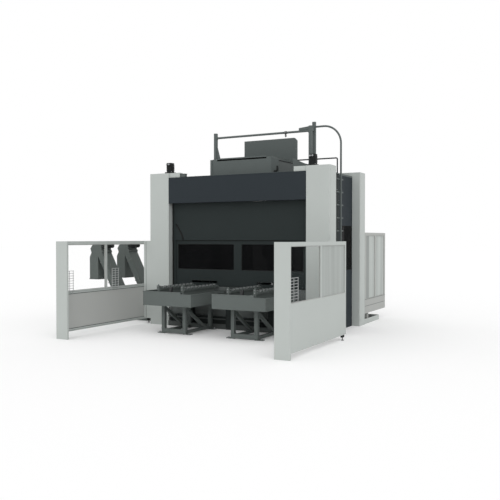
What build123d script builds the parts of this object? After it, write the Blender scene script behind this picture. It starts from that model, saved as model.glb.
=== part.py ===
from build123d import *
from math import cos, degrees, radians, sin, tan
import os

# Horizontal machining center with two pallet stands, guard fences and two chip conveyors.
# Millimetres. X runs along the front, Y into the machine, Z up.
# The origin is on the floor, midway between the front columns, in their front plane.

# Fits
slide_gap = 0.3
shaft_gap = 0.05
free_gap = 5.0

# Cabin columns and roof
opening_half = 1766.0
column_width = 540.0
column_depth = 380.0
rear_column_depth = 370.0
column_height = 3606.0
column_wall = 6.0
column_edge_radius = 12.0
cabin_depth = 2300.0
roof_thickness = 40.0
roof_drop = 86.0

# Front of the cabin
header_height = 605.0
header_drop = 111.0
header_depth = 160.0
header_wall = 4.0
shoulder_width = 296.0
shoulder_inset = 30.0
upper_panel_depth = 22.0
door_line = 2018.0
sill_height = 946.0
sill_depth = 240.0
sheet_wall = 4.0
sill_beam_height = 280.0
sill_beam_depth = 110.0
sill_beam_wall = 12.0
sill_beam_front = -20.0
sill_post_width = 160.0
sill_post_depth = 35.0
sill_post_pitch = 1070.0
sill_post_centre = -90.0

# Stiffening cheek on the left of the upper panel
cheek_width = 200.0
cheek_share = 0.41
cheek_thickness = 8.0

# Lifting door
door_half_width = 1690.0
door_depth = 50.0
door_bottom_gap = 10.0
door_top_gap = 4.0
window_bottom = 1335.0
window_top = 1926.0
window_outer = 1630.0
mullion_half = 100.0
window_frame = 22.0
pane_thickness = 8.0
transfer_slot_width = 690.0
transfer_slot_shift = -90.0
transfer_slot_height = 45.0
transfer_slot_bottom = 1028.0

# Door guides and lift drive
rail_width = 30.0
rail_depth = 28.0
rail_line = 215.0
carriage_width = 50.0
carriage_height = 160.0
carriage_inset = 90.0
belt_line = 320.0
belt_width = 30.0
belt_thickness = 5.0
belt_inset = 46.0
pulley_radius = 35.0
pulley_flange = 4.0
upper_pulley_drop = 120.0
lower_pulley_height = 260.0
sync_shaft_diameter = 30.0
idler_shaft_diameter = 20.0
bearing_wall = 14.0
bearing_length = 22.0
motor_offset = 84.0
motor_line = 200.0
motor_side = 140.0
motor_height = 245.0
motor_flange_side = 190.0
motor_flange_height = 36.0

# Side walls
side_wall_plane = 2113.0
side_wall_depth = 20.0
side_window_near = 1240.0
side_window_far = 1900.0
side_window_bottom = 1330.0
side_window_top = 2350.0
duct_depth = 77.0
duct_length = 480.0
duct_drop = 156.0

# Roof trough, hood and fall-arrest rail
trough_left = -836.0
trough_right = 935.0
trough_front = 400.0
trough_depth = 870.0
trough_height = 380.0
trough_slope_run = 165.0
trough_slope_drop = 90.0
trough_wall = 5.0
trough_slot_left = -665.0
trough_slot_right = 625.0
trough_slot_height = 30.0
trough_slot_drop = 5.0
lid_overhang = 14.0
lid_thickness = 26.0
lid_depth = 150.0
elbow_x = 905.0
elbow_height = 160.0
elbow_bend = 110.0
elbow_reach = 80.0
elbow_diameter = 34.0
cable_cover_left = 1240.0
cable_cover_right = 1550.0
cable_cover_low = 185.0
cable_cover_high = 240.0
cable_cover_depth = 90.0
hood_left = -427.0
hood_right = 965.0
hood_gap = 30.0
hood_depth = 60.0
hood_height = 905.0
hood_chamfer = 60.0
mast_side = 68.0
mast_wall = 6.0
mast_line = 500.0
mast_left_centre = -760.0
mast_right_centre = 1660.0
mast_height = 1010.0
mast_rear_line = 702.0
mast_rear_height = 1120.0
gusset_width = 95.0
gusset_height = 340.0
gusset_thickness = 30.0
arm_length = 240.0
arm_height = 90.0
arm_tip_height = 50.0
arm_thickness = 40.0
arm_drop = 12.0
anchor_rail_diameter = 48.0
anchor_rail_drop = 110.0
ring_centre = 1060.0
trolley_length = 45.0
trolley_wall = 10.0
ring_radius = 34.0
ring_width = 16.0
ring_thickness = 14.0

# Ladder and handrail
ladder_x = 2290.0
ladder_line = 702.0
stile_diameter = 42.0
ladder_foot = 300.0
rung_pitch = 281.0
rung_top_drop = 100.0
rung_low = 530.0
rung_width = 402.0
rung_height = 28.0
rung_depth = 24.0
rung_seat = 3.0
ladder_bend_radius = 400.0
standoff_side = 30.0
standoff_shares = (0.2, 0.55, 0.9)
handrail_diameter = 30.0
handrail_line = 620.0
handrail_x = 2238.0
handrail_end = 1257.0
handrail_rise = 286.0
handrail_bend_radius = 30.0

# Guard fences at the front
fence_left_plane = -2547.0
fence_right_plane = 2723.0
fence_wing = 295.0
fence_near = -2875.0
fence_post_depth = 45.0
fence_depth = 40.0
fence_height = 2000.0
fence_panel_bottom = 110.0
fence_sill = 955.0
fence_rail_height = 70.0
fence_mullion = 50.0
fence_left_far_post = 300.0
fence_right_far_post = 60.0
fence_recess = 8.0
fence_recess_margin = 50.0
fence_left_far = 380.0
fence_right_far = -150.0
fence_left_mullion = -1384.0
fence_right_mullion = -1510.0
fence_foot_length = 110.0
fence_foot_height = 50.0
fence_foot_inset = 150.0
fence_foot_pad = 30.0
fence_foot_stem = 8.0
fence_pane = 6.0
fence_wall = 3.0
rack_height = 430.0
rack_standoff = 24.0
rack_wire = 12.0
rack_rows = 9
rack_hook = 60.0
rack_left_spans = ((-1195.0, -965.0), (-2665.0, -2435.0))
rack_right_spans = ((-2770.0, -2400.0),)

# Guards and trays at the rear
guard_length = 1630.0
guard_bottom = 260.0
guard_sill = 600.0
guard_top = 2200.0
guard_rail_height = 70.0
guard_post = 90.0
guard_leg_side = 60.0
guard_leg_inset = 1250.0
tray_width = 430.0
tray_inset = 26.0
tray_length = 1200.0
tray_height = 120.0
tray_wall = 4.0

# Chip conveyors
chute_right = -4300.0
chute_width = 280.0
front_chute_bottom = 990.0
rear_chute_bottom = 975.0
conveyor_front_line = 420.0
conveyor_rear_inset = 540.0
conveyor_width = 380.0
conveyor_wall = 5.0
conveyor_slope = 62.0
conveyor_floor_height = 300.0
conveyor_head_top = 1955.0
conveyor_throat = 1600.0
conveyor_body = 156.0
conveyor_end = 1700.0
head_reach = 114.0
intake_margin = 120.0
sprocket_radius = 95.0
sprocket_teeth = 10
sprocket_thickness = 24.0
sprocket_tooth = 14.0
conveyor_shaft_diameter = 50.0
sprocket_x = -20.0
sprocket_height = 1790.0
conveyor_bearing_radius = 60.0
conveyor_bearing_length = 35.0
conveyor_motor_radius = 58.0
conveyor_motor_drop = 90.0
conveyor_motor_foot = 40.0
roll_cover_radius = 50.0
roll_cover_inset = 14.0
roll_cover_drop = 240.0

# Pallet stands
stand_left = -800.0
stand_right = 935.0
stand_front = -1172.0
floor_bar_side = 60.0
brace_end = -300.0
foot_bar_side = 90.0
leg_side = 78.0
leg_wall = 8.0
leg_spread = 272.0
stand_shift = -25.0
rear_leg_line = -100.0
brace_side = 60.0
foot_plate_width = 180.0
foot_plate_depth = 104.0
foot_plate_overhang = 110.0
foot_plate_height = 18.0
pan_width = 1230.0
pan_front = -1460.0
pan_bottom = 626.0
pan_top = 930.0
pan_wall = 4.0
pan_rim = 18.0
pan_side_drop = 40.0
transfer_height = 1030.0
roller_rail_width = 90.0
roller_rail_spread = 310.0
roller_rail_front = -1315.0
roller_rail_flange = 12.0
roller_rail_base = 14.0
roller_rail_web = 40.0
roller_radius = 34.0
roller_pitch = 150.0
roller_flange_drop = 33.0
pedestal_length = 80.0
end_stop_width = 60.0
end_stop_height = 14.0
end_stop_pin = 26.0
end_stop_depth = 45.0
shuttle_beam_width = 110.0
shuttle_beam_front = -1380.0
shuttle_beam_back = -140.0
shuttle_beam_top = 880.0
shuttle_beam_height = 90.0
shuttle_length = 220.0
shuttle_wall = 16.0
shuttle_start = -1340.0
shuttle_hook_drop = 15.0

# Table axis and rotary table
table_bed_half_length = 1700.0
table_bed_room = 60.0
table_bed_foot_step = 50.0
table_bed_top = 480.0
bed_foot_height = 90.0
guide_width = 45.0
guide_height = 45.0
guide_share = 0.375
slide_clearance = 15.0
table_slide_length = 900.0
table_slide_overhang = 30.0
table_slide_top = 700.0
rotary_radius = 440.0
rotary_neck_radius = 360.0
rotary_neck_height = 150.0
pallet_size = 1100.0
pallet_corner = 200.0
pallet_height = 140.0
pallet_groove = 22.0
pallet_groove_depth = 30.0
pallet_groove_count = 5
pallet_groove_pitch = 180.0

# Column axis
column_bed_half_width = 620.0
column_bed_lead = 110.0
column_bed_length = 1950.0
column_bed_top = 500.0
column_guide_width = 55.0
column_guide_height = 50.0
column_guide_spread = 420.0
machine_column_half_width = 550.0
machine_column_stand = 850.0
machine_column_depth = 800.0
machine_column_top_depth = 520.0
machine_column_base = 330.0
machine_column_gap = 60.0
column_pocket_depth = 110.0
column_rib = 70.0
head_guide_width = 55.0
head_guide_depth = 45.0
head_guide_spread = 330.0
head_guide_bottom = 900.0

# Headstock and spindle
head_centre = 1850.0
head_carriage_height = 800.0
head_carriage_half_width = 430.0
head_carriage_depth = 150.0
ram_side = 600.0
ram_corner = 90.0
ram_length = 640.0
nose_radius = 190.0
nose_length = 110.0
spindle_bore_radius = 90.0
spindle_reach = 60.0
spindle_seat_depth = 220.0
spindle_taper_large = 44.0
spindle_taper_small = 30.0
spindle_taper_length = 100.0

# Tool magazine
wheel_x = -1180.0
wheel_height = 1950.0
wheel_radius = 430.0
wheel_thickness = 40.0
wheel_hub_radius = 90.0
wheel_back_gap = 60.0
wheel_window_radius = 75.0
wheel_windows = 4
tool_count = 10
tool_radius = 36.0
tool_tip_radius = 16.0
tool_collar = 60.0
tool_length = 170.0

# Rear wall opening
rear_wall_inset = 240.0
rear_wall_depth = 40.0
rear_lintel_drop = 160.0

# Derived positions
column_outer = opening_half + column_width
rear_column_front = cabin_depth - rear_column_depth
roof_top = column_height - roof_drop
roof_bottom = roof_top - roof_thickness
header_top = column_height - header_drop
header_bottom = header_top - header_height
duct_top = column_height - duct_drop
upper_pulley_height = roof_top - upper_pulley_drop
upper_panel_front = header_depth + free_gap
door_front = upper_panel_front + upper_panel_depth + free_gap
door_back = door_front + door_depth
door_bottom = sill_height + door_bottom_gap
door_top = door_line - door_top_gap
trough_back = trough_front + trough_depth
trough_top = roof_top + trough_height
hood_front = trough_back + hood_gap
hood_top = roof_top + hood_height
mast_top = roof_top + mast_height
mast_rear_top = roof_top + mast_rear_height
anchor_rail_height = mast_top - anchor_rail_drop
rung_top = duct_top - rung_top_drop
rung_count = 1 + int((rung_top - rung_low) / rung_pitch)
handrail_height = roof_top + handrail_rise
tray_outer = column_outer - tray_inset
rear_wall_line = cabin_depth - rear_wall_inset
rear_lintel_bottom = roof_top - rear_lintel_drop
conveyor_rear_line = rear_wall_line - conveyor_rear_inset
pan_back = sill_beam_front - sill_post_depth
roller_rail_bottom = sill_height
roller_rail_back = sill_beam_front + sill_beam_depth
table_bed_foot = conveyor_rear_line - conveyor_front_line - conveyor_width - table_bed_room
table_bed_width = table_bed_foot - 2 * table_bed_foot_step
table_slide_width = table_bed_width + 2 * table_slide_overhang
table_line = conveyor_rear_line - table_bed_foot / 2
guide_spread = table_bed_width * guide_share
column_bed_front = rear_wall_line - column_bed_lead
column_bed_back = column_bed_front + column_bed_length
machine_column_front = column_bed_front + machine_column_stand
machine_column_back = machine_column_front + machine_column_depth
machine_column_top = rear_lintel_bottom - machine_column_gap


def block(x, y, z):
    """Rectangular solid. Each argument is its (low, high) span along that axis."""
    sizes = [span[1] - span[0] for span in (x, y, z)]
    return Pos(x[0], y[0], z[0]) * Box(*sizes, align=(Align.MIN, Align.MIN, Align.MIN))


def around(centre, width):
    """Span of a given width about a centre."""
    return (centre - width / 2, centre + width / 2)


def grown(span, margin):
    """Span widened by a margin at both ends."""
    return (span[0] - margin, span[1] + margin)


def prism_x(points, x):
    """Profile of (y, z) points extruded along X over a span."""
    profile = Plane.YZ * make_face(Polyline(*points, close=True))
    return Pos(x[0], 0, 0) * extrude(profile, x[1] - x[0], dir=(1, 0, 0))


def prism_y(points, y):
    """Profile of (x, z) points extruded along Y over a span."""
    profile = Plane.XZ * make_face(Polyline(*points, close=True))
    return Pos(0, y[0], 0) * extrude(profile, y[1] - y[0], dir=(0, 1, 0))


def prism_z(points, z):
    """Profile of (x, y) points extruded upwards over a span."""
    profile = make_face(Polyline(*points, close=True))
    return Pos(0, 0, z[0]) * extrude(profile, z[1] - z[0])


def rod(start, end, radius):
    """Round bar between two points."""
    run = Vector(*end) - Vector(*start)
    bar = Cylinder(radius, run.length, align=(Align.CENTER, Align.CENTER, Align.MIN))
    return Plane(origin=start, z_dir=run) * bar


def bent_tube(points, radii, diameter):
    """Round bar swept along straight runs joined by arcs."""
    path = FilletPolyline(*points, radius=radii)
    section = Plane(origin=path @ 0, z_dir=path % 0) * Circle(diameter / 2)
    return sweep(section, path=path)


def mirrored(shape):
    """The same shape on the other side of the middle plane."""
    return mirror(shape, about=Plane.YZ)


def cassette(x, y, z, wall, open_side):
    """Folded sheet box, open on one side: '+y', '-z' and so on."""
    spans = [list(x), list(y), list(z)]
    inner = [[low + wall, high - wall] for low, high in spans]
    axis = "xyz".index(open_side[1])
    if open_side[0] == "+":
        inner[axis][1] = spans[axis][1] + wall
    else:
        inner[axis][0] = spans[axis][0] - wall
    return block(*spans) - block(*inner)


# Cabin

def column(x, y):
    """Folded casing of a cabin column: a tube with rounded edges and a closed top."""
    centre = Pos(sum(x) / 2, sum(y) / 2, 0)
    width, depth = x[1] - x[0], y[1] - y[0]
    outer = RectangleRounded(width, depth, column_edge_radius)
    inner = RectangleRounded(
        width - 2 * column_wall, depth - 2 * column_wall, column_edge_radius - column_wall
    )
    cap = Pos(0, 0, column_height - column_wall) * extrude(outer, column_wall)
    tube = extrude(outer - inner, column_height - column_wall)
    return centre * (tube + cap)


def sill_beam():
    """Channel on the floor between the front columns, its open side forwards."""
    front = sill_beam_front
    back = front + sill_beam_depth
    web = back - sill_beam_wall
    points = [
        (front, 0), (back, 0), (back, sill_beam_height), (front, sill_beam_height),
        (front, sill_beam_height - sill_beam_wall), (web, sill_beam_height - sill_beam_wall),
        (web, sill_beam_wall), (front, sill_beam_wall),
    ]
    return prism_x(points, (-opening_half, opening_half))


def sill_posts():
    """Three posts beside the pallet stands, stepped back over the sill beam."""
    back = sill_beam_front + sill_beam_depth
    front = pan_back
    points = [
        (front, 0), (sill_beam_front, 0), (sill_beam_front, sill_beam_height),
        (back, sill_beam_height), (back, sill_height), (front, sill_height),
    ]
    centres = [sill_post_centre + step * sill_post_pitch for step in (-1, 0, 1)]
    return [prism_x(points, around(x, sill_post_width)) for x in centres]


def header_fascia():
    """Folded header between the front columns, open at the back."""
    return cassette(
        (-opening_half, opening_half), (0, header_depth), (header_bottom, header_top),
        header_wall, "+y",
    )


def shoulder_blocks():
    """Light blocks that close the header's corners beside the columns."""
    right = block(
        (opening_half - shoulder_width, opening_half),
        (shoulder_inset, header_depth),
        (header_top, column_height),
    )
    return Compound(children=[right, mirrored(right)])


def upper_front_panel():
    """Fixed panel under the header, with a curved cheek at its left end."""
    back = upper_panel_front + upper_panel_depth
    panel = cassette(
        (-opening_half, opening_half), (upper_panel_front, back), (door_line, header_bottom),
        sheet_wall, "+y",
    )
    corner = (-opening_half + cheek_width / 2, door_line)
    height = cheek_share * (header_bottom - door_line)
    quarter = CenterArc((0, 0), 1, 0, 90)
    outline = make_face(quarter + Line((0, 1), (0, 0)) + Line((0, 0), (1, 0)))
    cheek = extrude(Plane.XZ * scale(outline, by=(cheek_width, height, 1)), cheek_thickness)
    return panel + Pos(corner[0], upper_panel_front, corner[1]) * cheek


def lower_front_wall():
    """Lower wall and the sill that leads back under the door, folded from one sheet."""
    front = sill_beam_front + sill_beam_depth
    back = door_back + free_gap
    low = sill_height - sheet_wall
    points = [
        (front, 0), (front + sheet_wall, 0), (front + sheet_wall, low), (back - sheet_wall, low),
        (back - sheet_wall, low - sill_depth / 2), (back, low - sill_depth / 2),
        (back, sill_height), (front, sill_height),
    ]
    return prism_x(points, (-opening_half, opening_half))


def side_wall(side):
    """Side wall of the cabin, with its window on the right and conveyor holes on the left."""
    x = (side_wall_plane - side_wall_depth, side_wall_plane)
    y = (column_depth, rear_column_front)
    wall = cassette(x, y, (0, roof_bottom), sheet_wall, "-x")
    window = block(
        grown(x, sheet_wall), (side_window_near, side_window_far),
        (side_window_bottom, side_window_top),
    )
    frame_outer = block(
        x, grown((side_window_near, side_window_far), window_frame),
        grown((side_window_bottom, side_window_top), window_frame),
    )
    wall = wall + frame_outer - window
    if side > 0:
        return wall
    for line in (conveyor_front_line, conveyor_rear_line):
        wall -= block(
            grown(x, sheet_wall),
            grown((line, line + conveyor_width), slide_gap),
            (-sheet_wall, conveyor_floor_height + slide_gap),
        )
    return mirrored(wall)


def side_windows():
    """Dark panes set in the frames of both side walls."""
    middle = side_wall_plane - side_wall_depth / 2
    pane = block(
        around(middle, pane_thickness), (side_window_near, side_window_far),
        (side_window_bottom, side_window_top),
    )
    return Compound(children=[pane, mirrored(pane)])


def rear_wall():
    """Rear wall with the opening for the machine column and the tool wheel's bearing boss."""
    y = (rear_wall_line, rear_wall_line + rear_wall_depth)
    half_opening = column_bed_half_width
    points = [
        (-opening_half, 0), (-half_opening, 0), (-half_opening, rear_lintel_bottom),
        (half_opening, rear_lintel_bottom), (half_opening, 0), (opening_half, 0),
        (opening_half, roof_bottom), (-opening_half, roof_bottom),
    ]
    wall = prism_y(points, y)
    wheel_back = rear_wall_line - wheel_back_gap
    boss = rod((wheel_x, wheel_back, wheel_height), (wheel_x, y[0], wheel_height), wheel_hub_radius)
    bore = rod(
        (wheel_x, wheel_back, wheel_height), (wheel_x, y[1], wheel_height),
        idler_shaft_diameter + shaft_gap,
    )
    return wall + boss - bore


def roof_panel():
    """Roof between the columns, with the sloped cable cover on it."""
    points = [
        (-opening_half, upper_panel_front), (opening_half, upper_panel_front),
        (opening_half, column_depth), (side_wall_plane, column_depth),
        (side_wall_plane, rear_column_front), (opening_half, rear_column_front),
        (opening_half, rear_wall_line + rear_wall_depth),
        (-opening_half, rear_wall_line + rear_wall_depth),
        (-opening_half, rear_column_front), (-side_wall_plane, rear_column_front),
        (-side_wall_plane, column_depth), (-opening_half, column_depth),
    ]
    cover = prism_y(
        [
            (cable_cover_left, roof_top), (cable_cover_right, roof_top),
            (cable_cover_right, roof_top + cable_cover_low), (cable_cover_left, roof_top + cable_cover_high),
        ],
        (mast_line, mast_line + cable_cover_depth),
    )
    return prism_z(points, (roof_bottom, roof_top)) + cover


# Roof equipment

def trough_outline(inset):
    """Corner points of the trough's front view, moved inwards by a wall."""
    slope = trough_slope_drop / trough_slope_run
    return [
        (trough_left + inset, roof_top),
        (trough_right - inset, roof_top),
        (trough_right - inset, trough_top - trough_slope_drop - inset * (1 - slope)),
        (trough_right - trough_slope_run, trough_top - inset),
        (trough_left + inset, trough_top - inset),
    ]


def roof_trough():
    """Hollow roof trough: sloped at its right end, slotted below its front top edge."""
    shell = prism_y(trough_outline(0), (trough_front, trough_back))
    shell -= prism_y(
        trough_outline(trough_wall), (trough_front + trough_wall, trough_back - trough_wall)
    )
    slot_top = trough_top - trough_slot_drop
    slot = block(
        (trough_slot_left, trough_slot_right),
        (trough_front - trough_wall, trough_front + 2 * trough_wall),
        (slot_top - trough_slot_height, slot_top),
    )
    return shell - slot


def trough_lid():
    """Lid strip on the trough above its slot, with a folded front edge."""
    front = trough_front - lid_overhang
    points = [
        (front, trough_top), (trough_front + lid_depth, trough_top),
        (trough_front + lid_depth, trough_top + lid_thickness / 2),
        (front + lid_overhang, trough_top + lid_thickness), (front, trough_top + lid_thickness),
    ]
    start = mast_left_centre + mast_side / 2 + gusset_width + free_gap
    return prism_x(points, (start, trough_slot_right))


def rear_hood():
    """Tall hood behind the trough, with one sloped top corner."""
    points = [
        (hood_left, roof_top), (hood_right, roof_top), (hood_right, hood_top - hood_chamfer),
        (hood_right - hood_chamfer, hood_top), (hood_left, hood_top),
    ]
    inset = [
        (hood_left + trough_wall, roof_top), (hood_right - trough_wall, roof_top),
        (hood_right - trough_wall, hood_top - hood_chamfer - trough_wall / 2),
        (hood_right - hood_chamfer - trough_wall / 2, hood_top - trough_wall),
        (hood_left + trough_wall, hood_top - trough_wall),
    ]
    y = (hood_front, hood_front + hood_depth)
    return prism_y(points, y) - prism_y(inset, grown(y, -trough_wall))


def square_mast(x, y, z, side):
    """Square tube mast, closed at its top."""
    outer = Rectangle(side, side)
    inner = Rectangle(side - 2 * mast_wall, side - 2 * mast_wall)
    height = z[1] - z[0]
    tube = extrude(outer - inner, height - mast_wall)
    cap = Pos(0, 0, height - mast_wall) * extrude(outer, mast_wall)
    return Pos(x, y, z[0]) * (tube + cap)


def mast_left():
    """Left mast on the trough, with its gusset."""
    mast = square_mast(mast_left_centre, mast_line, (trough_top, mast_top), mast_side)
    edge = mast_left_centre + mast_side / 2
    gusset = prism_y(
        [(edge, trough_top), (edge + gusset_width, trough_top), (edge, trough_top + gusset_height)],
        around(mast_line, gusset_thickness),
    )
    return mast + gusset


def mast_right():
    """Two right masts joined by a plate, and the tapered arm over the rail's end."""
    front = square_mast(mast_right_centre, mast_line, (roof_top, mast_top), mast_side)
    rear = square_mast(
        mast_right_centre, mast_rear_line, (roof_top, mast_rear_top), mast_side
    )
    link = block(
        around(mast_right_centre, mast_side / 2),
        (mast_line + mast_side / 2, mast_rear_line - mast_side / 2),
        (mast_top - arm_height - arm_drop, mast_top - arm_drop),
    )
    root = mast_right_centre - mast_side / 2
    top = mast_top - arm_drop
    bottom = anchor_rail_height + anchor_rail_diameter / 2
    arm = prism_y(
        [
            (root, bottom), (root, top), (root - arm_length, bottom + arm_tip_height),
            (root - arm_length, bottom),
        ],
        around(mast_line, arm_thickness),
    )
    return front + rear + link + arm


def anchor_rail():
    """Round rail between the left mast and the right mast."""
    start = mast_left_centre + mast_side / 2
    end = mast_right_centre - mast_side / 2
    return rod(
        (start, mast_line, anchor_rail_height), (end, mast_line, anchor_rail_height),
        anchor_rail_diameter / 2,
    )


def anchor_ring():
    """Trolley that slides on the rail, with a flat eye below it."""
    bore = anchor_rail_diameter / 2 + slide_gap
    x = around(ring_centre, trolley_length)
    sleeve = rod((x[0], mast_line, anchor_rail_height), (x[1], mast_line, anchor_rail_height),
                 bore + trolley_wall)
    hole = rod((x[0], mast_line, anchor_rail_height), (x[1], mast_line, anchor_rail_height), bore)
    ring_height = anchor_rail_height - bore - trolley_wall - ring_radius + ring_width / 4
    ring_x = around(ring_centre, ring_thickness)
    start, end = (ring_x[0], mast_line, ring_height), (ring_x[1], mast_line, ring_height)
    ring = rod(start, end, ring_radius) - rod(start, end, ring_radius - ring_width)
    return sleeve + ring - hole


def ladder():
    """Single-stile ladder: rungs across the back of a stile that bends over to the mast."""
    mast_face = mast_right_centre + mast_side / 2
    stile = bent_tube(
        [
            (ladder_x, ladder_line, ladder_foot), (ladder_x, ladder_line, mast_top),
            (mast_face, ladder_line, mast_top),
        ],
        ladder_bend_radius, stile_diameter,
    )
    duct_face = side_wall_plane + duct_depth
    rung_x = ladder_x - (stile_diameter + rung_depth) / 2 + rung_seat
    for step in range(rung_count):
        height = rung_top - step * rung_pitch
        stile += block(
            around(rung_x, rung_depth), around(ladder_line, rung_width),
            around(height, rung_height),
        )
    for share in standoff_shares:
        stile += block(
            (duct_face, ladder_x), around(ladder_line, standoff_side),
            around(share * duct_top, standoff_side),
        )
    return stile


def handrail():
    """Handrail behind the right column: up from the duct, along, and down to the roof."""
    return bent_tube(
        [
            (handrail_x, handrail_line, duct_top),
            (handrail_x, handrail_line, handrail_height),
            (handrail_end, handrail_line, handrail_height),
            (handrail_end, handrail_line, roof_top),
        ],
        handrail_bend_radius, handrail_diameter,
    )


def service_duct():
    """Duct on the right side wall behind the ladder, with a shelf for the handrail."""
    x = (side_wall_plane, side_wall_plane + duct_depth)
    y = (column_depth, column_depth + duct_length)
    duct = cassette(x, y, (0, duct_top), sheet_wall, "-x")
    shelf = block(
        (x[1], handrail_x + handrail_diameter), around(handrail_line, 2 * handrail_diameter),
        (duct_top - 3 * sheet_wall, duct_top),
    )
    return duct + shelf


# Door and its drive

def door_guide_rails():
    """Guide rails on the columns' inner faces, and the bearings of the pulley shafts."""
    rail = block(
        (opening_half - rail_depth, opening_half), around(rail_line, rail_width),
        (sill_height, roof_bottom),
    )
    solids = [rail]
    for height, diameter in (
        (upper_pulley_height, sync_shaft_diameter), (lower_pulley_height, idler_shaft_diameter),
    ):
        start = (opening_half - bearing_length, belt_line, height)
        end = (opening_half, belt_line, height)
        solids.append(
            rod(start, end, diameter / 2 + bearing_wall)
            - rod(start, end, diameter / 2 + shaft_gap)
        )
    return Compound(children=solids + [mirrored(solid) for solid in solids])


def pulley(x_centre, height):
    """Flanged belt pulley about an axis along X."""
    half = belt_width / 2 + slide_gap
    rim = rod((x_centre - half, belt_line, height), (x_centre + half, belt_line, height),
              pulley_radius)
    for side in (-1, 1):
        inner = x_centre + side * half
        rim += rod((inner, belt_line, height), (inner + side * pulley_flange, belt_line, height),
                   pulley_radius + belt_thickness)
    return rim


def door_sync_shaft():
    """Shaft behind the header that turns both upper pulleys together."""
    end = opening_half - slide_gap
    belt_x = opening_half - belt_inset
    shaft = rod((-end, belt_line, upper_pulley_height), (end, belt_line, upper_pulley_height),
                sync_shaft_diameter / 2)
    return shaft + pulley(belt_x, upper_pulley_height) + pulley(-belt_x, upper_pulley_height)


def door_idler_right():
    """Lower belt pulley with its shaft stub in the column's bearing."""
    belt_x = opening_half - belt_inset
    stub = rod(
        (belt_x, belt_line, lower_pulley_height),
        (opening_half - slide_gap, belt_line, lower_pulley_height), idler_shaft_diameter / 2,
    )
    return pulley(belt_x, lower_pulley_height) + stub


def door_belts():
    """Closed lift belt on each side, round its upper and lower pulleys."""
    inner = pulley_radius + slide_gap
    length = upper_pulley_height - lower_pulley_height
    centre = (upper_pulley_height + lower_pulley_height) / 2
    outer_face = SlotCenterToCenter(length, 2 * (inner + belt_thickness), rotation=90)
    inner_face = SlotCenterToCenter(length, 2 * inner, rotation=90)
    belt_x = opening_half - belt_inset - belt_width / 2
    loop = extrude(Plane.YZ * (outer_face - inner_face), belt_width, dir=(1, 0, 0))
    right = Pos(belt_x, belt_line, centre) * loop
    return Compound(children=[right, mirrored(right)])


def door_drive_motors():
    """Drive motors standing on the front columns."""
    x = opening_half + motor_offset
    flange = block(
        around(x, motor_flange_side), around(motor_line, motor_flange_side),
        (column_height, column_height + motor_flange_height),
    )
    body = block(
        around(x, motor_side), around(motor_line, motor_side),
        (column_height + motor_flange_height, column_height + motor_height),
    )
    right = flange + chamfer(body.edges().filter_by(Axis.Z), motor_side / 10)
    return Compound(children=[right, mirrored(right)])


def window_span(side):
    """X span of one door window."""
    if side > 0:
        return (mullion_half, window_outer)
    return (-window_outer, -mullion_half)


def lifting_door():
    """Door leaf: folded sheet open at the back, with two framed windows and transfer slots."""
    leaf = cassette(
        (-door_half_width, door_half_width), (door_front, door_back), (door_bottom, door_top),
        sheet_wall, "+y",
    )
    y = (door_front, door_back)
    window_z = (window_bottom, window_top)
    for side in (-1, 1):
        x = window_span(side)
        leaf += block(grown(x, window_frame), y, grown(window_z, window_frame))
        leaf -= block(x, grown(y, sheet_wall), window_z)
    for centre in (stand_left, stand_right):
        leaf -= block(
            around(centre + transfer_slot_shift, transfer_slot_width), grown(y, sheet_wall),
            (transfer_slot_bottom, transfer_slot_bottom + transfer_slot_height),
        )
    return leaf


def door_windows():
    """Dark safety panes in the door."""
    line = around((door_front + door_back) / 2, pane_thickness)
    panes = [block(window_span(side), line, (window_bottom, window_top)) for side in (-1, 1)]
    return Compound(children=panes)


def door_carriages():
    """Guide carriages on the door's edges; the upper pair also holds the belt clamps."""
    x = (door_half_width, opening_half - rail_depth / 3)
    y = around(rail_line, carriage_width)
    groove_x = (opening_half - rail_depth - slide_gap, opening_half)
    groove_y = grown(around(rail_line, rail_width), slide_gap)
    solids = []
    for low in (door_bottom + carriage_inset, door_top - carriage_inset - carriage_height):
        z = (low, low + carriage_height)
        solids.append(block(x, y, z) - block(groove_x, groove_y, z))
    clamp_end = belt_line - pulley_radius - belt_thickness - 2 * slide_gap
    clamp_x = (door_half_width, opening_half - belt_inset + belt_width / 2)
    solids[1] += block(clamp_x, (y[1], clamp_end), z)
    return Compound(children=solids + [mirrored(solid) for solid in solids])


# Guard fences

def fence_places(side):
    """Far end, far post width and mullion position of a fence."""
    if side > 0:
        return fence_right_far, fence_right_far_post, fence_right_mullion
    return fence_left_far, fence_left_far_post, fence_left_mullion


def fence(side):
    """Guard fence: wing post, sheet cassette, far post, mullion and top rail in one weldment."""
    far, far_post, mullion = fence_places(side)
    plane = fence_right_plane if side > 0 else -fence_left_plane
    x = (plane - fence_depth, plane)
    post_back = fence_near + fence_post_depth
    wing_x = (plane - fence_wing, plane)
    body = cassette(wing_x, (fence_near, post_back), (0, fence_height), fence_wall, "-z")
    body += block(x, (post_back, far), (fence_panel_bottom, fence_sill))
    body -= block(
        grown(x, -fence_wall), (post_back + fence_wall, far - fence_wall),
        (fence_panel_bottom + fence_wall, fence_sill - fence_wall),
    )
    inset = (x[0] + fence_recess, x[0] + fence_recess + fence_wall)
    body += block(inset, (post_back, far), (fence_panel_bottom, fence_sill))
    body -= block(
        (x[0], inset[0]), (post_back, far - far_post),
        (fence_panel_bottom + fence_recess_margin, fence_sill - fence_recess_margin),
    )
    body += block(x, (post_back, far), (fence_height - fence_rail_height, fence_height))
    window_z = (fence_sill, fence_height - fence_rail_height)
    body += block(x, (mullion, mullion + fence_mullion), window_z)
    body += block(x, (far - far_post, far), window_z)
    if side > 0:
        return body
    return mirrored(body)


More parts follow.
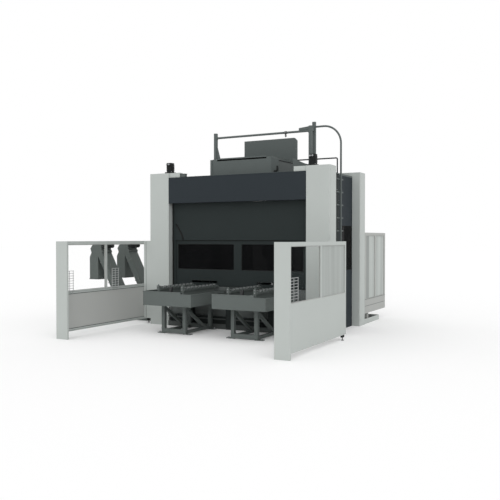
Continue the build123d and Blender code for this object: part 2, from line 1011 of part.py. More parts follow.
def fence_panes(side):
    """Clear panes of one fence, on both sides of its mullion."""
    far, far_post, mullion = fence_places(side)
    plane = fence_right_plane if side > 0 else fence_left_plane
    x = around(plane - side * fence_depth / 2, fence_pane)
    z = (fence_sill, fence_height - fence_rail_height)
    return [
        block(x, (fence_near + fence_post_depth, mullion), z),
        block(x, (mullion + fence_mullion, far - far_post), z),
    ]


def guard_panes():
    """Clear panes of one rear guard, on both sides of its mullion."""
    y = (cabin_depth, cabin_depth + guard_length)
    middle = around(sum(y) / 2, guard_post)
    x = around(column_outer - fence_depth / 2, fence_pane)
    z = (guard_sill, guard_top - guard_rail_height)
    return [
        block(x, (y[0] + guard_post, middle[0]), z),
        block(x, (middle[1], y[1] - guard_post), z),
    ]


def guard_windows():
    """All clear panes of the fences and the rear guards."""
    rear = guard_panes()
    panes = fence_panes(-1) + fence_panes(1) + rear + [mirrored(pane) for pane in rear]
    return Compound(children=panes)


def fence_foot(side):
    """Levelling foot under a fence's far end: shoe, stem and pad."""
    far = fence_places(side)[0]
    plane = fence_right_plane if side > 0 else fence_left_plane
    x = plane - side * fence_depth / 2
    y = far - fence_foot_inset
    shoe_z = (fence_panel_bottom - fence_foot_height, fence_panel_bottom)
    shoe = block(around(x, fence_depth), around(y, fence_foot_length), shoe_z)
    stem = rod((x, y, 0), (x, y, shoe_z[0]), fence_foot_stem)
    pad = rod((x, y, 0), (x, y, fence_foot_stem), fence_foot_pad)
    return shoe + stem + pad


def trough_elbow():
    """Drain elbow on the trough's front, near its right end."""
    line = trough_front - elbow_diameter / 2
    top = roof_top + elbow_height
    drop = top - elbow_bend
    return bent_tube(
        [(elbow_x, line, top), (elbow_x, line, drop), (elbow_x - elbow_reach, line, drop)],
        elbow_diameter, elbow_diameter,
    )


def black_fittings():
    """Small dark fittings: the fences' levelling feet and the trough's drain elbow."""
    return Compound(children=[fence_foot(-1), fence_foot(1), trough_elbow()])


def wire_rack(side, span):
    """Wire rack hooked on a fence's inner face above its sill."""
    plane = fence_right_plane if side > 0 else fence_left_plane
    wall = plane - side * fence_depth
    front = wall - side * rack_standoff
    face = (min(front, front + side * rack_wire), max(front, front + side * rack_wire))
    back = (min(wall, wall - side * rack_wire), max(wall, wall - side * rack_wire))
    z = (fence_sill, fence_sill + rack_height)
    rack = None
    for step in range(3):
        y = span[0] + step * (span[1] - span[0] - rack_wire) / 2
        rack_y = (y, y + rack_wire)
        bar = block(face, rack_y, z)
        rack = bar if rack is None else rack + bar
    reach = (min(face[0], back[0]), max(face[1], back[1]))
    for y in (span[0], span[1] - rack_wire):
        rack_y = (y, y + rack_wire)
        rack += block(reach, rack_y, (z[0], z[0] + rack_wire))
        rack += block(back, rack_y, (z[0] - rack_hook, z[0] + rack_wire))
    pitch = (rack_height - rack_wire) / (rack_rows - 1)
    for row in range(rack_rows):
        low = z[0] + row * pitch
        rack += block(face, span, (low, low + rack_wire))
    return rack


def wire_racks():
    """Wire racks on the fences."""
    racks = [wire_rack(-1, span) for span in rack_left_spans]
    racks += [wire_rack(1, span) for span in rack_right_spans]
    return Compound(children=racks)


def rear_guards():
    """Guards behind the rear columns: sheet below, clear panes above, a leg in the tray."""
    x = (column_outer - fence_depth, column_outer)
    y = (cabin_depth, cabin_depth + guard_length)
    guard = block(x, y, (guard_bottom, guard_sill))
    guard -= block(
        grown(x, -fence_wall), grown(y, -fence_wall),
        (guard_bottom + fence_wall, guard_sill - fence_wall),
    )
    guard += block(x, y, (guard_top - guard_rail_height, guard_top))
    z = (guard_sill, guard_top - guard_rail_height)
    guard += block(x, (y[0], y[0] + guard_post), z)
    guard += block(x, around(sum(y) / 2, guard_post), z)
    guard += block(x, (y[1] - guard_post, y[1]), z)
    leg_low = y[1] - guard_leg_inset - guard_leg_side
    guard += block(
        (x[0] - guard_leg_side, x[0]), (leg_low, leg_low + guard_leg_side),
        (tray_wall, guard_sill),
    )
    return Compound(children=[guard, mirrored(guard)])


def floor_trays():
    """Flat open trays on the floor beside the column bed."""
    right = cassette(
        (tray_outer - tray_width, tray_outer), (cabin_depth, cabin_depth + tray_length),
        (0, tray_height), tray_wall, "+z",
    )
    return Compound(children=[right, mirrored(right)])


# Chip conveyors

def conveyor_points(chute_bottom, wall):
    """Side view of a conveyor housing, moved inwards by a wall; the head is at low X."""
    run = 1 / tan(radians(conveyor_slope))
    across = conveyor_body / sin(radians(conveyor_slope))
    lean = wall / sin(radians(conveyor_slope))
    left = chute_right - chute_width + wall
    right = chute_right + head_reach - wall
    top = conveyor_head_top - wall
    belly_x = chute_right + (conveyor_throat - wall) * run + lean
    crotch_z = conveyor_throat + (lean + wall) / run
    back_z = conveyor_floor_height - wall
    back_x = chute_right + across + (conveyor_throat - back_z) * run - lean
    shoulder_z = conveyor_throat + head_reach / 2
    shoulder_x = chute_right + across + (conveyor_throat - shoulder_z) * run - lean
    return [
        (left, chute_bottom), (left, conveyor_throat - chute_width / 12),
        (left + chute_width * 0.21, conveyor_throat + chute_width * 0.32),
        (left + chute_width * 0.07, conveyor_throat + chute_width * 0.68),
        (left + chute_width * 0.29, top - chute_width * 0.27),
        (left + chute_width * 0.79, top), (right, top), (right, shoulder_z + head_reach / 2),
        (shoulder_x, shoulder_z), (back_x, back_z),
        (conveyor_end - wall, back_z), (conveyor_end - wall, wall),
        (belly_x, wall), (chute_right - wall, crotch_z), (chute_right - wall, chute_bottom),
    ]


def conveyor_housing(line, chute_bottom):
    """Sheet housing of a chip conveyor: floor run, incline, head and open discharge chute."""
    y = (line, line + conveyor_width)
    shell = prism_y(conveyor_points(chute_bottom, 0), y)
    cover_x = chute_right + head_reach - roll_cover_inset
    cover_z = conveyor_head_top - roll_cover_drop
    shell += rod((cover_x, y[0], cover_z), (cover_x, y[1], cover_z), roll_cover_radius)
    shell -= prism_y(
        conveyor_points(chute_bottom - conveyor_wall, conveyor_wall), grown(y, -conveyor_wall)
    )
    inside = side_wall_plane - side_wall_depth - intake_margin
    shell -= block(
        (-inside, conveyor_end - intake_margin), grown(y, -intake_margin / 3),
        (conveyor_floor_height / 2, conveyor_floor_height + conveyor_wall),
    )
    x = chute_right + sprocket_x
    for wall, inner in (
        (y[0] + conveyor_wall, y[0] + conveyor_bearing_length),
        (y[1] - conveyor_wall, y[1] - conveyor_bearing_length),
    ):
        start, end = (x, wall, sprocket_height), (x, inner, sprocket_height)
        bearing = rod(start, end, conveyor_bearing_radius)
        shell += bearing - rod(start, end, conveyor_shaft_diameter / 2 + shaft_gap)
    return shell


def conveyor_shaft(line):
    """Sprocket shaft in the conveyor's head, with two toothed wheels."""
    x = chute_right + sprocket_x
    y = grown((line, line + conveyor_width), -conveyor_wall - slide_gap)
    shaft = rod((x, y[0], sprocket_height), (x, y[1], sprocket_height), conveyor_shaft_diameter / 2)
    step = 360 / sprocket_teeth
    root = sprocket_radius - sprocket_tooth
    wheel = Circle(root)
    tooth = Trapezoid(2 * sprocket_tooth, 2 * sprocket_tooth, 70, rotation=-90)
    for place in range(sprocket_teeth):
        wheel += Rot(0, 0, place * step) * Pos(root, 0) * tooth
    disc = extrude(Plane.XZ * wheel, sprocket_thickness, dir=(0, 1, 0))
    inset = conveyor_width / 4
    for place in (line + inset, line + conveyor_width - inset - sprocket_thickness):
        shaft += Pos(x, place, sprocket_height) * disc
    return shaft


def conveyor_motors():
    """Drum-shaped drive motor across the back of each conveyor's head, on its foot."""
    motors = []
    face = chute_right + head_reach
    x = face + conveyor_motor_radius
    z = conveyor_head_top - conveyor_motor_drop
    for line in (conveyor_front_line, conveyor_rear_line):
        y = (line, line + conveyor_width)
        foot = block((face, x), y, around(z, conveyor_motor_foot))
        motors.append(foot + rod((x, y[0], z), (x, y[1], z), conveyor_motor_radius))
    return Compound(children=motors)


# Pallet stands

def stand_frame(centre):
    """Stand frame: foot bars, floor bars, hollow legs, raking braces and foot plates."""
    front_line = stand_front + foot_bar_side / 2
    middle = centre + stand_shift
    leg_bottom = foot_plate_height + foot_bar_side
    reach = leg_spread + leg_side / 2
    tube = Rectangle(leg_side, leg_side) - Rectangle(
        leg_side - 2 * leg_wall, leg_side - 2 * leg_wall
    )
    frame = None
    for line in (front_line, rear_leg_line):
        depth = around(line, leg_side)
        bar = block((middle - reach, middle + reach), depth, (foot_plate_height, leg_bottom))
        frame = bar if frame is None else frame + bar
        for side in (-1, 1):
            leg = extrude(tube, pan_bottom - leg_bottom)
            frame += Pos(middle + side * leg_spread, line, leg_bottom) * leg
            tip = middle + side * (reach + foot_plate_overhang)
            plate = sorted((tip, tip - side * foot_plate_width))
            plate_y = (line - leg_side / 2, line - leg_side / 2 + foot_plate_depth)
            if line == rear_leg_line:
                plate_y = (line + leg_side / 2 - foot_plate_depth, line + leg_side / 2)
            frame += block(plate, plate_y, (0, foot_plate_height))
    half = leg_side / 2
    top = pan_bottom - half
    floor_top = foot_plate_height + floor_bar_side
    slope = (top - floor_top) / (brace_end - front_line - half)
    rise = brace_side * (1 + slope ** 2) ** 0.5
    for side in (-1, 1):
        x = middle + side * leg_spread
        frame += block(
            around(x, floor_bar_side), (front_line + half, rear_leg_line - half),
            (foot_plate_height, floor_top),
        )
        frame += prism_x(
            [
                (front_line + half, top), (front_line + half, top - rise),
                (brace_end - rise / slope, floor_top), (brace_end, floor_top),
            ],
            around(x, brace_side),
        )
    return frame


def drip_tray(centre):
    """Open sheet tray under the roller rails, with a turned-in rim and a lower right side."""
    x = around(centre, pan_width)
    y = (pan_front, pan_back)
    low_x = (centre + roller_rail_spread + roller_rail_width / 2, x[1])
    low_top = pan_top - pan_side_drop
    tray = cassette(x, y, (pan_bottom, pan_top), pan_wall, "+z")
    tray += block(x, y, (pan_top - pan_wall, pan_top))
    tray -= block((low_x[0], x[1] + pan_wall), grown(y, pan_wall), (low_top, pan_top))
    tray += block(low_x, y, (low_top - pan_wall, low_top))
    return tray - block(grown(x, -pan_rim), grown(y, -pan_rim), (pan_bottom + pan_wall, pan_top))


def roller_rail(x_centre):
    """Roller rail: a channel full of rollers on a web, with an end stop at its front."""
    flange_top = transfer_height - roller_flange_drop
    half = roller_rail_width / 2
    channel = [
        (x_centre - half, roller_rail_bottom), (x_centre + half, roller_rail_bottom),
        (x_centre + half, flange_top), (x_centre + half - roller_rail_flange, flange_top),
        (x_centre + half - roller_rail_flange, roller_rail_bottom + roller_rail_base),
        (x_centre - half + roller_rail_flange, roller_rail_bottom + roller_rail_base),
        (x_centre - half + roller_rail_flange, flange_top), (x_centre - half, flange_top),
    ]
    rail = prism_y(channel, (roller_rail_front, roller_rail_back))
    roller_count = int((roller_rail_back - roller_rail_front) / roller_pitch)
    span = (roller_count - 1) * roller_pitch
    first = (roller_rail_front + roller_rail_back - span) / 2
    axle = transfer_height - roller_radius
    reach = half - roller_rail_flange
    for step in range(roller_count):
        y = first + step * roller_pitch
        rail += rod((x_centre - reach, y, axle), (x_centre + reach, y, axle), roller_radius)
    rail += block(
        around(x_centre, roller_rail_web), (roller_rail_front, pan_back - pan_rim),
        (pan_bottom + pan_wall, roller_rail_bottom),
    )
    stop_x = (x_centre - half, x_centre - half + end_stop_width)
    stop_top = transfer_height + end_stop_height
    rail += block(
        stop_x, (roller_rail_front, roller_rail_front + end_stop_depth),
        (roller_rail_bottom, stop_top),
    )
    pin = (sum(stop_x) / 2, roller_rail_front + end_stop_depth / 2)
    rail += rod((*pin, stop_top), (*pin, stop_top + end_stop_pin), end_stop_pin / 2)
    return rail


def shuttle_beam(centre):
    """Guide beam of the pallet shuttle, on two feet in the tray."""
    beam = block(
        around(centre, shuttle_beam_width), (shuttle_beam_front, shuttle_beam_back),
        (shuttle_beam_top - shuttle_beam_height, shuttle_beam_top),
    )
    for y in (shuttle_beam_front + pedestal_length, shuttle_beam_back - pedestal_length):
        beam += block(
            around(centre, shuttle_beam_width), around(y, pedestal_length),
            (pan_bottom + pan_wall, shuttle_beam_top - shuttle_beam_height),
        )
    return beam


def roller_rails():
    """The four roller rails and the two shuttle beams."""
    solids = []
    for centre in (stand_left, stand_right):
        solids.append(roller_rail(centre - roller_rail_spread))
        solids.append(roller_rail(centre + roller_rail_spread))
        solids.append(shuttle_beam(centre))
    return Compound(children=solids)


def pallet_shuttle(centre):
    """Shuttle that pushes a pallet off its stand: a saddle over the beam, with a hook."""
    half = shuttle_beam_width / 2 + slide_gap
    top = shuttle_beam_top + slide_gap
    low = shuttle_beam_top - shuttle_beam_height / 2
    saddle = [
        (centre - half - shuttle_wall, low), (centre - half, low), (centre - half, top),
        (centre + half, top), (centre + half, low), (centre + half + shuttle_wall, low),
        (centre + half + shuttle_wall, top + shuttle_wall),
        (centre - half - shuttle_wall, top + shuttle_wall),
    ]
    y = (shuttle_start, shuttle_start + shuttle_length)
    hook_base = top + shuttle_wall
    hook = prism_x(
        [
            (y[0], hook_base), (y[0] + shuttle_length / 3, hook_base),
            (y[0] + shuttle_length / 3, transfer_height - shuttle_hook_drop),
            (y[0] + shuttle_length / 6, transfer_height - shuttle_hook_drop),
        ],
        around(centre, shuttle_beam_width / 2),
    )
    return prism_y(saddle, y) + hook


# Machine inside the cabin

def table_bed():
    """Cast bed of the table axis with its two guide rails."""
    half, foot = table_bed_width / 2, table_bed_foot / 2
    points = [
        (table_line - foot, 0), (table_line + foot, 0), (table_line + foot, bed_foot_height),
        (table_line + half, 2 * bed_foot_height), (table_line + half, table_bed_top),
        (table_line - half, table_bed_top), (table_line - half, 2 * bed_foot_height),
        (table_line - foot, bed_foot_height),
    ]
    x = (-table_bed_half_length, table_bed_half_length)
    bed = prism_x(points, x)
    for side in (-1, 1):
        bed += block(
            x, around(table_line + side * guide_spread, guide_width),
            (table_bed_top, table_bed_top + guide_height),
        )
    bed -= block(
        grown(x, -guide_height), around(table_line, guide_spread),
        (table_bed_top - guide_height, table_bed_top),
    )
    return bed


def table_slide():
    """Slide of the table axis, grooved over the guide rails, with the rotary table's seat."""
    low = table_bed_top + slide_clearance
    x = around(0, table_slide_length)
    slide = block(x, around(table_line, table_slide_width), (low, table_slide_top))
    slide = chamfer(slide.edges().filter_by(Axis.Z), guide_width)
    for side in (-1, 1):
        slide -= block(
            x, grown(around(table_line + side * guide_spread, guide_width), slide_gap),
            (low, table_bed_top + guide_height + slide_gap),
        )
    return slide


def rotary_table():
    """Turned rotary table: a wide foot, a neck and the pallet seat."""
    low = table_slide_top + slide_gap
    profile = Polyline(
        (0, low), (rotary_radius, low), (rotary_radius, low + rotary_neck_height / 3),
        (rotary_neck_radius, low + rotary_neck_height), (rotary_neck_radius, transfer_height),
        (0, transfer_height), close=True,
    )
    turned = revolve(Plane.XZ * make_face(profile), Axis.Z)
    return Pos(0, table_line, 0) * turned


def machine_pallet():
    """Square pallet with cut corners and clamping grooves."""
    half = pallet_size / 2
    cut = half - pallet_corner
    points = [
        (half, cut), (cut, half), (-cut, half), (-half, cut),
        (-half, -cut), (-cut, -half), (cut, -half), (half, -cut),
    ]
    top = transfer_height + pallet_height
    pallet = prism_z([(x, table_line + y) for x, y in points], (transfer_height, top))
    first = -(pallet_groove_count - 1) * pallet_groove_pitch / 2
    for step in range(pallet_groove_count):
        pallet -= block(
            around(first + step * pallet_groove_pitch, pallet_groove),
            around(table_line, pallet_size),
            (top - pallet_groove_depth, top),
        )
    return pallet


def column_bed():
    """Cast bed of the column axis with its two guide rails."""
    x = (-column_bed_half_width, column_bed_half_width)
    bed = block(x, (column_bed_front, column_bed_back), (0, column_bed_top))
    for side in (-1, 1):
        bed += block(
            around(side * column_guide_spread, column_guide_width),
            (column_bed_front, column_bed_back),
            (column_bed_top, column_bed_top + column_guide_height),
        )
        pocket = (column_bed_half_width - column_pocket_depth / 2, column_bed_half_width)
        length = (column_bed_back - column_bed_front - 4 * column_rib) / 3
        for step in range(3):
            low = column_bed_front + column_rib + step * (length + column_rib)
            pocket_x = pocket if side > 0 else (-pocket[1], -pocket[0])
            bed -= block(pocket_x, (low, low + length), (2 * column_rib, column_bed_top - column_rib))
    return bed


def machine_column():
    """Travelling cast column: slides on the bed, tapers upwards, ribbed sides, front guides."""
    low = column_bed_top + slide_clearance
    top_back = machine_column_front + machine_column_top_depth
    side_view = [
        (machine_column_front, low), (machine_column_back, low),
        (machine_column_back, low + machine_column_base), (top_back, machine_column_top),
        (machine_column_front, machine_column_top),
    ]
    x = (-machine_column_half_width, machine_column_half_width)
    body = prism_x(side_view, x)
    bays = 4
    first = low + machine_column_base
    bay = (machine_column_top - first - column_rib) / bays
    for step in range(bays):
        z0 = first + step * bay + column_rib / 2
        z1 = z0 + bay - column_rib
        slope = (machine_column_back - top_back) / (machine_column_top - first)
        back0 = machine_column_back - slope * (z0 - first) - column_rib
        back1 = machine_column_back - slope * (z1 - first) - column_rib
        pocket = [
            (machine_column_front + column_rib, z0), (back0, z0),
            (back1, z1), (machine_column_front + column_rib, z1),
        ]
        for side in (-1, 1):
            face = side * machine_column_half_width
            depth = (min(face, face - side * column_pocket_depth), max(face, face - side * column_pocket_depth))
            body -= prism_x(pocket, depth)
    for side in (-1, 1):
        body -= block(
            grown(around(side * column_guide_spread, column_guide_width), slide_gap),
            (machine_column_front, machine_column_back),
            (low, column_bed_top + column_guide_height + slide_gap),
        )
        body += block(
            around(side * head_guide_spread, head_guide_width),
            (machine_column_front - head_guide_depth, machine_column_front),
            (head_guide_bottom, machine_column_top),
        )
    return body


def headstock():
    """Headstock: carriage on the column's guides, ram with cut corners and a round nose."""
    back = machine_column_front - slide_clearance
    front = back - head_carriage_depth
    z = around(head_centre, head_carriage_height)
    carriage = block((-head_carriage_half_width, head_carriage_half_width), (front, back), z)
    for side in (-1, 1):
        carriage -= block(
            grown(around(side * head_guide_spread, head_guide_width), slide_gap),
            (machine_column_front - head_guide_depth - slide_gap, back), z,
        )
    half = ram_side / 2
    cut = half - ram_corner
    section = [
        (half, cut), (cut, half), (-cut, half), (-half, cut),
        (-half, -cut), (-cut, -half), (cut, -half), (half, -cut),
    ]
    ram_front = front - ram_length
    ram = prism_y([(x, head_centre + dz) for x, dz in section], (ram_front, front))
    tip = ram_front - nose_length
    nose_profile = Polyline(
        (0, 0), (half - ram_corner / 2, 0), (nose_radius, nose_length), (0, nose_length), close=True
    )
    nose = revolve(make_face(nose_profile), Axis.Y)
    nose = Pos(0, ram_front, head_centre) * Rot(180, 0, 0) * nose
    seat = rod(
        (0, tip, head_centre), (0, tip + spindle_seat_depth, head_centre),
        spindle_bore_radius + shaft_gap,
    )
    return carriage + ram + nose - seat


def spindle():
    """Spindle with a tapered tool socket."""
    tip = machine_column_front - slide_clearance - head_carriage_depth - ram_length - nose_length
    front = tip - spindle_reach
    back = tip + spindle_seat_depth - slide_gap
    body = rod((0, front, head_centre), (0, back, head_centre), spindle_bore_radius)
    socket = Cone(spindle_taper_large, spindle_taper_small, spindle_taper_length)
    socket = Pos(0, front + spindle_taper_length / 2, head_centre) * Rot(-90, 0, 0) * socket
    return body - socket


def tool_wheel():
    """Magazine wheel on its shaft, with tools in holders round its rim."""
    back = rear_wall_line - wheel_back_gap - slide_gap
    front = back - wheel_thickness
    disc = Circle(wheel_radius)
    for step in range(wheel_windows):
        disc -= Rot(0, 0, step * 360 / wheel_windows) * Pos(wheel_radius * 0.5, 0) * Circle(
            wheel_window_radius
        )
    wheel = extrude(Plane.XZ * disc, wheel_thickness, dir=(0, 1, 0))
    wheel = Pos(wheel_x, front, wheel_height) * wheel
    shaft = rod((wheel_x, front, wheel_height),
                (wheel_x, rear_wall_line + rear_wall_depth, wheel_height), idler_shaft_diameter)
    wheel += shaft
    profile = Polyline(
        (0, 0), (tool_radius, 0), (tool_radius, tool_collar), (tool_tip_radius, tool_length),
        (0, tool_length), close=True,
    )
    tool = Rot(180, 0, 0) * revolve(make_face(profile), Axis.Y)
    reach = wheel_radius - tool_radius * 1.6
    for step in range(tool_count):
        angle = radians(step * 360 / tool_count)
        wheel += Pos(wheel_x + reach * cos(angle), front, wheel_height + reach * sin(angle)) * tool
    return wheel


left_x = (-column_outer, -opening_half)
right_x = (opening_half, column_outer)
front_y = (0, column_depth)
rear_y = (rear_column_front, cabin_depth)

nodes = {
    "sill_beam": Compound(children=[sill_beam()] + sill_posts()),
    "front_column_left": column(left_x, front_y),
    "front_column_right": column(right_x, front_y),
    "rear_column_left": column(left_x, rear_y),
    "rear_column_right": column(right_x, rear_y),
    "header_fascia": header_fascia(),
    "shoulder_blocks": shoulder_blocks(),
    "upper_front_panel": upper_front_panel(),
    "lower_front_wall": lower_front_wall(),
    "side_wall_left": side_wall(-1),
    "side_wall_right": side_wall(1),
    "side_windows": side_windows(),
    "rear_wall": rear_wall(),
    "roof_panel": roof_panel(),
    "roof_trough": roof_trough(),
    "trough_lid": trough_lid(),
    "rear_hood": rear_hood(),
    "mast_left": mast_left(),
    "mast_right": mast_right(),
    "anchor_rail": anchor_rail(),
    "anchor_ring": anchor_ring(),
    "ladder": ladder(),
    "handrail": handrail(),
    "service_duct": service_duct(),
    "door_guide_rails": door_guide_rails(),
    "door_drive_motors": door_drive_motors(),
    "door_belts": door_belts(),
    "door_sync_shaft": door_sync_shaft(),
    "door_idler_left": mirrored(door_idler_right()),
    "door_idler_right": door_idler_right(),
    "lifting_door": lifting_door(),
    "door_windows": door_windows(),
    "door_carriages": door_carriages(),
    "fence_left": fence(-1),
    "fence_right": fence(1),
    "guard_windows": guard_windows(),
    "wire_racks": wire_racks(),
    "black_fittings": black_fittings(),
    "rear_guards": rear_guards(),
    "floor_trays": floor_trays(),
    "conveyor_housing_front": conveyor_housing(conveyor_front_line, front_chute_bottom),
    "conveyor_housing_rear": conveyor_housing(conveyor_rear_line, rear_chute_bottom),
    "conveyor_shaft_front": conveyor_shaft(conveyor_front_line),
    "conveyor_shaft_rear": conveyor_shaft(conveyor_rear_line),
    "conveyor_motors": conveyor_motors(),
    "stand_frame_left": stand_frame(stand_left),
    "stand_frame_right": stand_frame(stand_right),
    "drip_trays": Compound(children=[drip_tray(stand_left), drip_tray(stand_right)]),
    "roller_rails": roller_rails(),
    "shuttle_left": pallet_shuttle(stand_left),
    "shuttle_right": pallet_shuttle(stand_right),
    "table_bed": table_bed(),
    "table_slide": table_slide(),
    "rotary_table": rotary_table(),
    "machine_pallet": machine_pallet(),
    "column_bed": column_bed(),
    "machine_column": machine_column(),
    "headstock": headstock(),
    "spindle": spindle(),
    "tool_wheel": tool_wheel(),
}

os.makedirs("parts", exist_ok=True)
for name, shape in nodes.items():
    export_step(shape, f"parts/{name}.step")
    print(name, len(shape.solids()))
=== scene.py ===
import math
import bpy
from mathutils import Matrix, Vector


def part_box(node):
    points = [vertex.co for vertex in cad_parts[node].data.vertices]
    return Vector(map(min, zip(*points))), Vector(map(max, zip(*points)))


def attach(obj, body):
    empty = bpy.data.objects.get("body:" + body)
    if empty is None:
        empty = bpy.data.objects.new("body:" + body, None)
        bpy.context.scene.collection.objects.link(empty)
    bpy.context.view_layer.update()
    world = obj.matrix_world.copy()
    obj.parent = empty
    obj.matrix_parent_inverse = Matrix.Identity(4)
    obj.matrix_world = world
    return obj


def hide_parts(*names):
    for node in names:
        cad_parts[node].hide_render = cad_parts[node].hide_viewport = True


bl_info = {
    "name": "Machining cell finishes",
    "version": (1, 0, 0),
    "blender": (4, 5, 0),
    "location": "3D View > Sidebar > Machining cell",
    "description": "Finishes, fastenings and small parts of a horizontal machining cell",
    "category": "Object",
}

from itertools import product

import bmesh
import bpy
from mathutils import Matrix, Vector

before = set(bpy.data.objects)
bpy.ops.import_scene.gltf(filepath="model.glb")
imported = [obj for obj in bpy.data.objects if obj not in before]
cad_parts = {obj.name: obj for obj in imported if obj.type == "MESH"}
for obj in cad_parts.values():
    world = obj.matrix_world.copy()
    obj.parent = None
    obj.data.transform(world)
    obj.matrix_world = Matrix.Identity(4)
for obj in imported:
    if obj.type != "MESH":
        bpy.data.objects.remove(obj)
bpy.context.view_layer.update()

X, Y, Z = Vector((1, 0, 0)), Vector((0, 1, 0)), Vector((0, 0, 1))


# Sizes, colours and stage values that a user may change

def length(name, description, default, least, most):
    return bpy.props.FloatProperty(
        name=name, description=description, default=default, min=least, max=most, unit="LENGTH")


def paint(name, description, default):
    return bpy.props.FloatVectorProperty(
        name=name, description=description, default=default,
        subtype="COLOR", size=3, min=0, max=1)


class CellSizes(bpy.types.PropertyGroup):
    """Sizes of the small parts."""
    screw: length("Screw head", "Radius of the small cover screws", 0.008, 0.002, 0.03)
    bolt: length("Bolt head", "Radius of the anchor and joint bolts", 0.016, 0.004, 0.05)
    cover: length("Cover sheet", "Thickness of the screwed cover sheets", 0.002, 0.0005, 0.01)
    gasket: length("Gasket width", "Width of the rubber round the panes", 0.012, 0.004, 0.04)
    wire: length("Rack wire", "Radius of the wires of the racks", 0.006, 0.0015, 0.01)
    edge: length("Edge rounding", "Rounding of sheet and block edges", 0.0015, 0.0002, 0.01)


class CellColours(bpy.types.PropertyGroup):
    """Paint and material colours."""
    light: paint("Column grey", "Paint of the columns, fences and guards", (0.468, 0.498, 0.480))
    header: paint("Header blue-grey", "Paint of the header and side walls", (0.033, 0.040, 0.0455))
    door: paint("Door grey-green", "Paint of the door and the panel above it",
                (0.029, 0.036, 0.036))
    sill: paint("Sill black", "Paint of the wall and beam under the door", (0.025, 0.031, 0.030))
    roof: paint("Roof grey", "Paint of the roof boxes, masts and rails", (0.107, 0.123, 0.120))
    stand: paint("Stand grey", "Paint of the pallet stands", (0.122, 0.139, 0.133))
    conveyor: paint("Conveyor grey", "Paint of the chip conveyors", (0.105, 0.120, 0.113))
    infill: paint("Infill grey", "Paint of the fences' infill sheets", (0.435, 0.445, 0.43))
    guard: paint("Guard grey", "Paint of the guards behind the cabin", (0.395, 0.405, 0.390))
    # Plinth grey is lifted well above the wall's own near-black paint to offset the shade under the
    # stands: painted light
    plinth: paint("Plinth grey", "Paint of the wall behind the pallet stands",
                  (0.125, 0.138, 0.134))
    casting: paint("Casting grey", "Paint of the beds and the machine column", (0.24, 0.26, 0.26))


class CellStage(bpy.types.PropertyGroup):
    """Light, floor and camera."""
    sky: bpy.props.FloatProperty(
        name="Sky light", description="Strength of the even light from all round",
        default=0.93, min=0, max=3)
    key: bpy.props.FloatProperty(
        name="Key lamp", description="Strength of the wide soft lamp high at the front right",
        default=0.70, min=0, max=10)
    floor: bpy.props.FloatProperty(
        name="Floor brightness", description="Share of light that the floor reflects",
        default=0.86, min=0, max=1, subtype="FACTOR")
    glow: bpy.props.FloatProperty(
        name="Floor lift", description="Brightness added to the floor as the camera sees it",
        default=0.08, min=0, max=1)
    eye: bpy.props.FloatVectorProperty(
        name="Camera place", description="Where the camera stands",
        subtype="TRANSLATION", unit="LENGTH", size=3, default=(7.4248, -13.0617, 2.0626))
    turn: bpy.props.FloatVectorProperty(
        name="Camera turn", description="How the camera is turned",
        subtype="EULER", size=3, default=(math.pi / 2 - 0.0175, 0.0, 0.4921))
    lens: bpy.props.FloatProperty(
        name="Lens", description="Focal length in millimetres on a sensor 36 mm wide",
        default=48.106, min=10, max=300)


# Materials

class Number:
    """A shader value on which Python's operators add Math nodes."""

    def __init__(self, tree, socket):
        self.tree, self.socket = tree, socket

    def math(self, operation, *values):
        made = self.tree.node("ShaderNodeMath", {"operation": operation}, dict(enumerate(values)))
        return Number(self.tree, made.outputs[0])

    def __add__(self, other):
        return self.math("ADD", self, other)

    def __radd__(self, other):
        return self.math("ADD", other, self)

    def __sub__(self, other):
        return self.math("SUBTRACT", self, other)

    def __rsub__(self, other):
        return self.math("SUBTRACT", other, self)

    def __mul__(self, other):
        return self.math("MULTIPLY", self, other)

    def __rmul__(self, other):
        return self.math("MULTIPLY", other, self)

    def above(self, level):
        return self.math("GREATER_THAN", self, level)

    def wave(self):
        return self.math("SINE", self)

    def held(self):
        """The value kept between 0 and 1."""
        return self.math("MINIMUM", self.math("MAXIMUM", self, 0.0), 1.0)


class NodeTree:
    """The nodes of a material or of the world."""

    def __init__(self, owner):
        owner.use_nodes = True
        self.tree = owner.node_tree
        self.tree.nodes.clear()

    def node(self, kind, settings=None, sockets=None):
        """A node of that kind: its settings first, then its sockets' values or links."""
        made = self.tree.nodes.new(kind)
        for key, value in (settings or {}).items():
            setattr(made, key, value)
        for key, value in (sockets or {}).items():
            if isinstance(value, Number):
                value = value.socket
            if isinstance(value, bpy.types.NodeSocket):
                self.tree.links.new(value, made.inputs[key])
            else:
                made.inputs[key].default_value = value
        return made


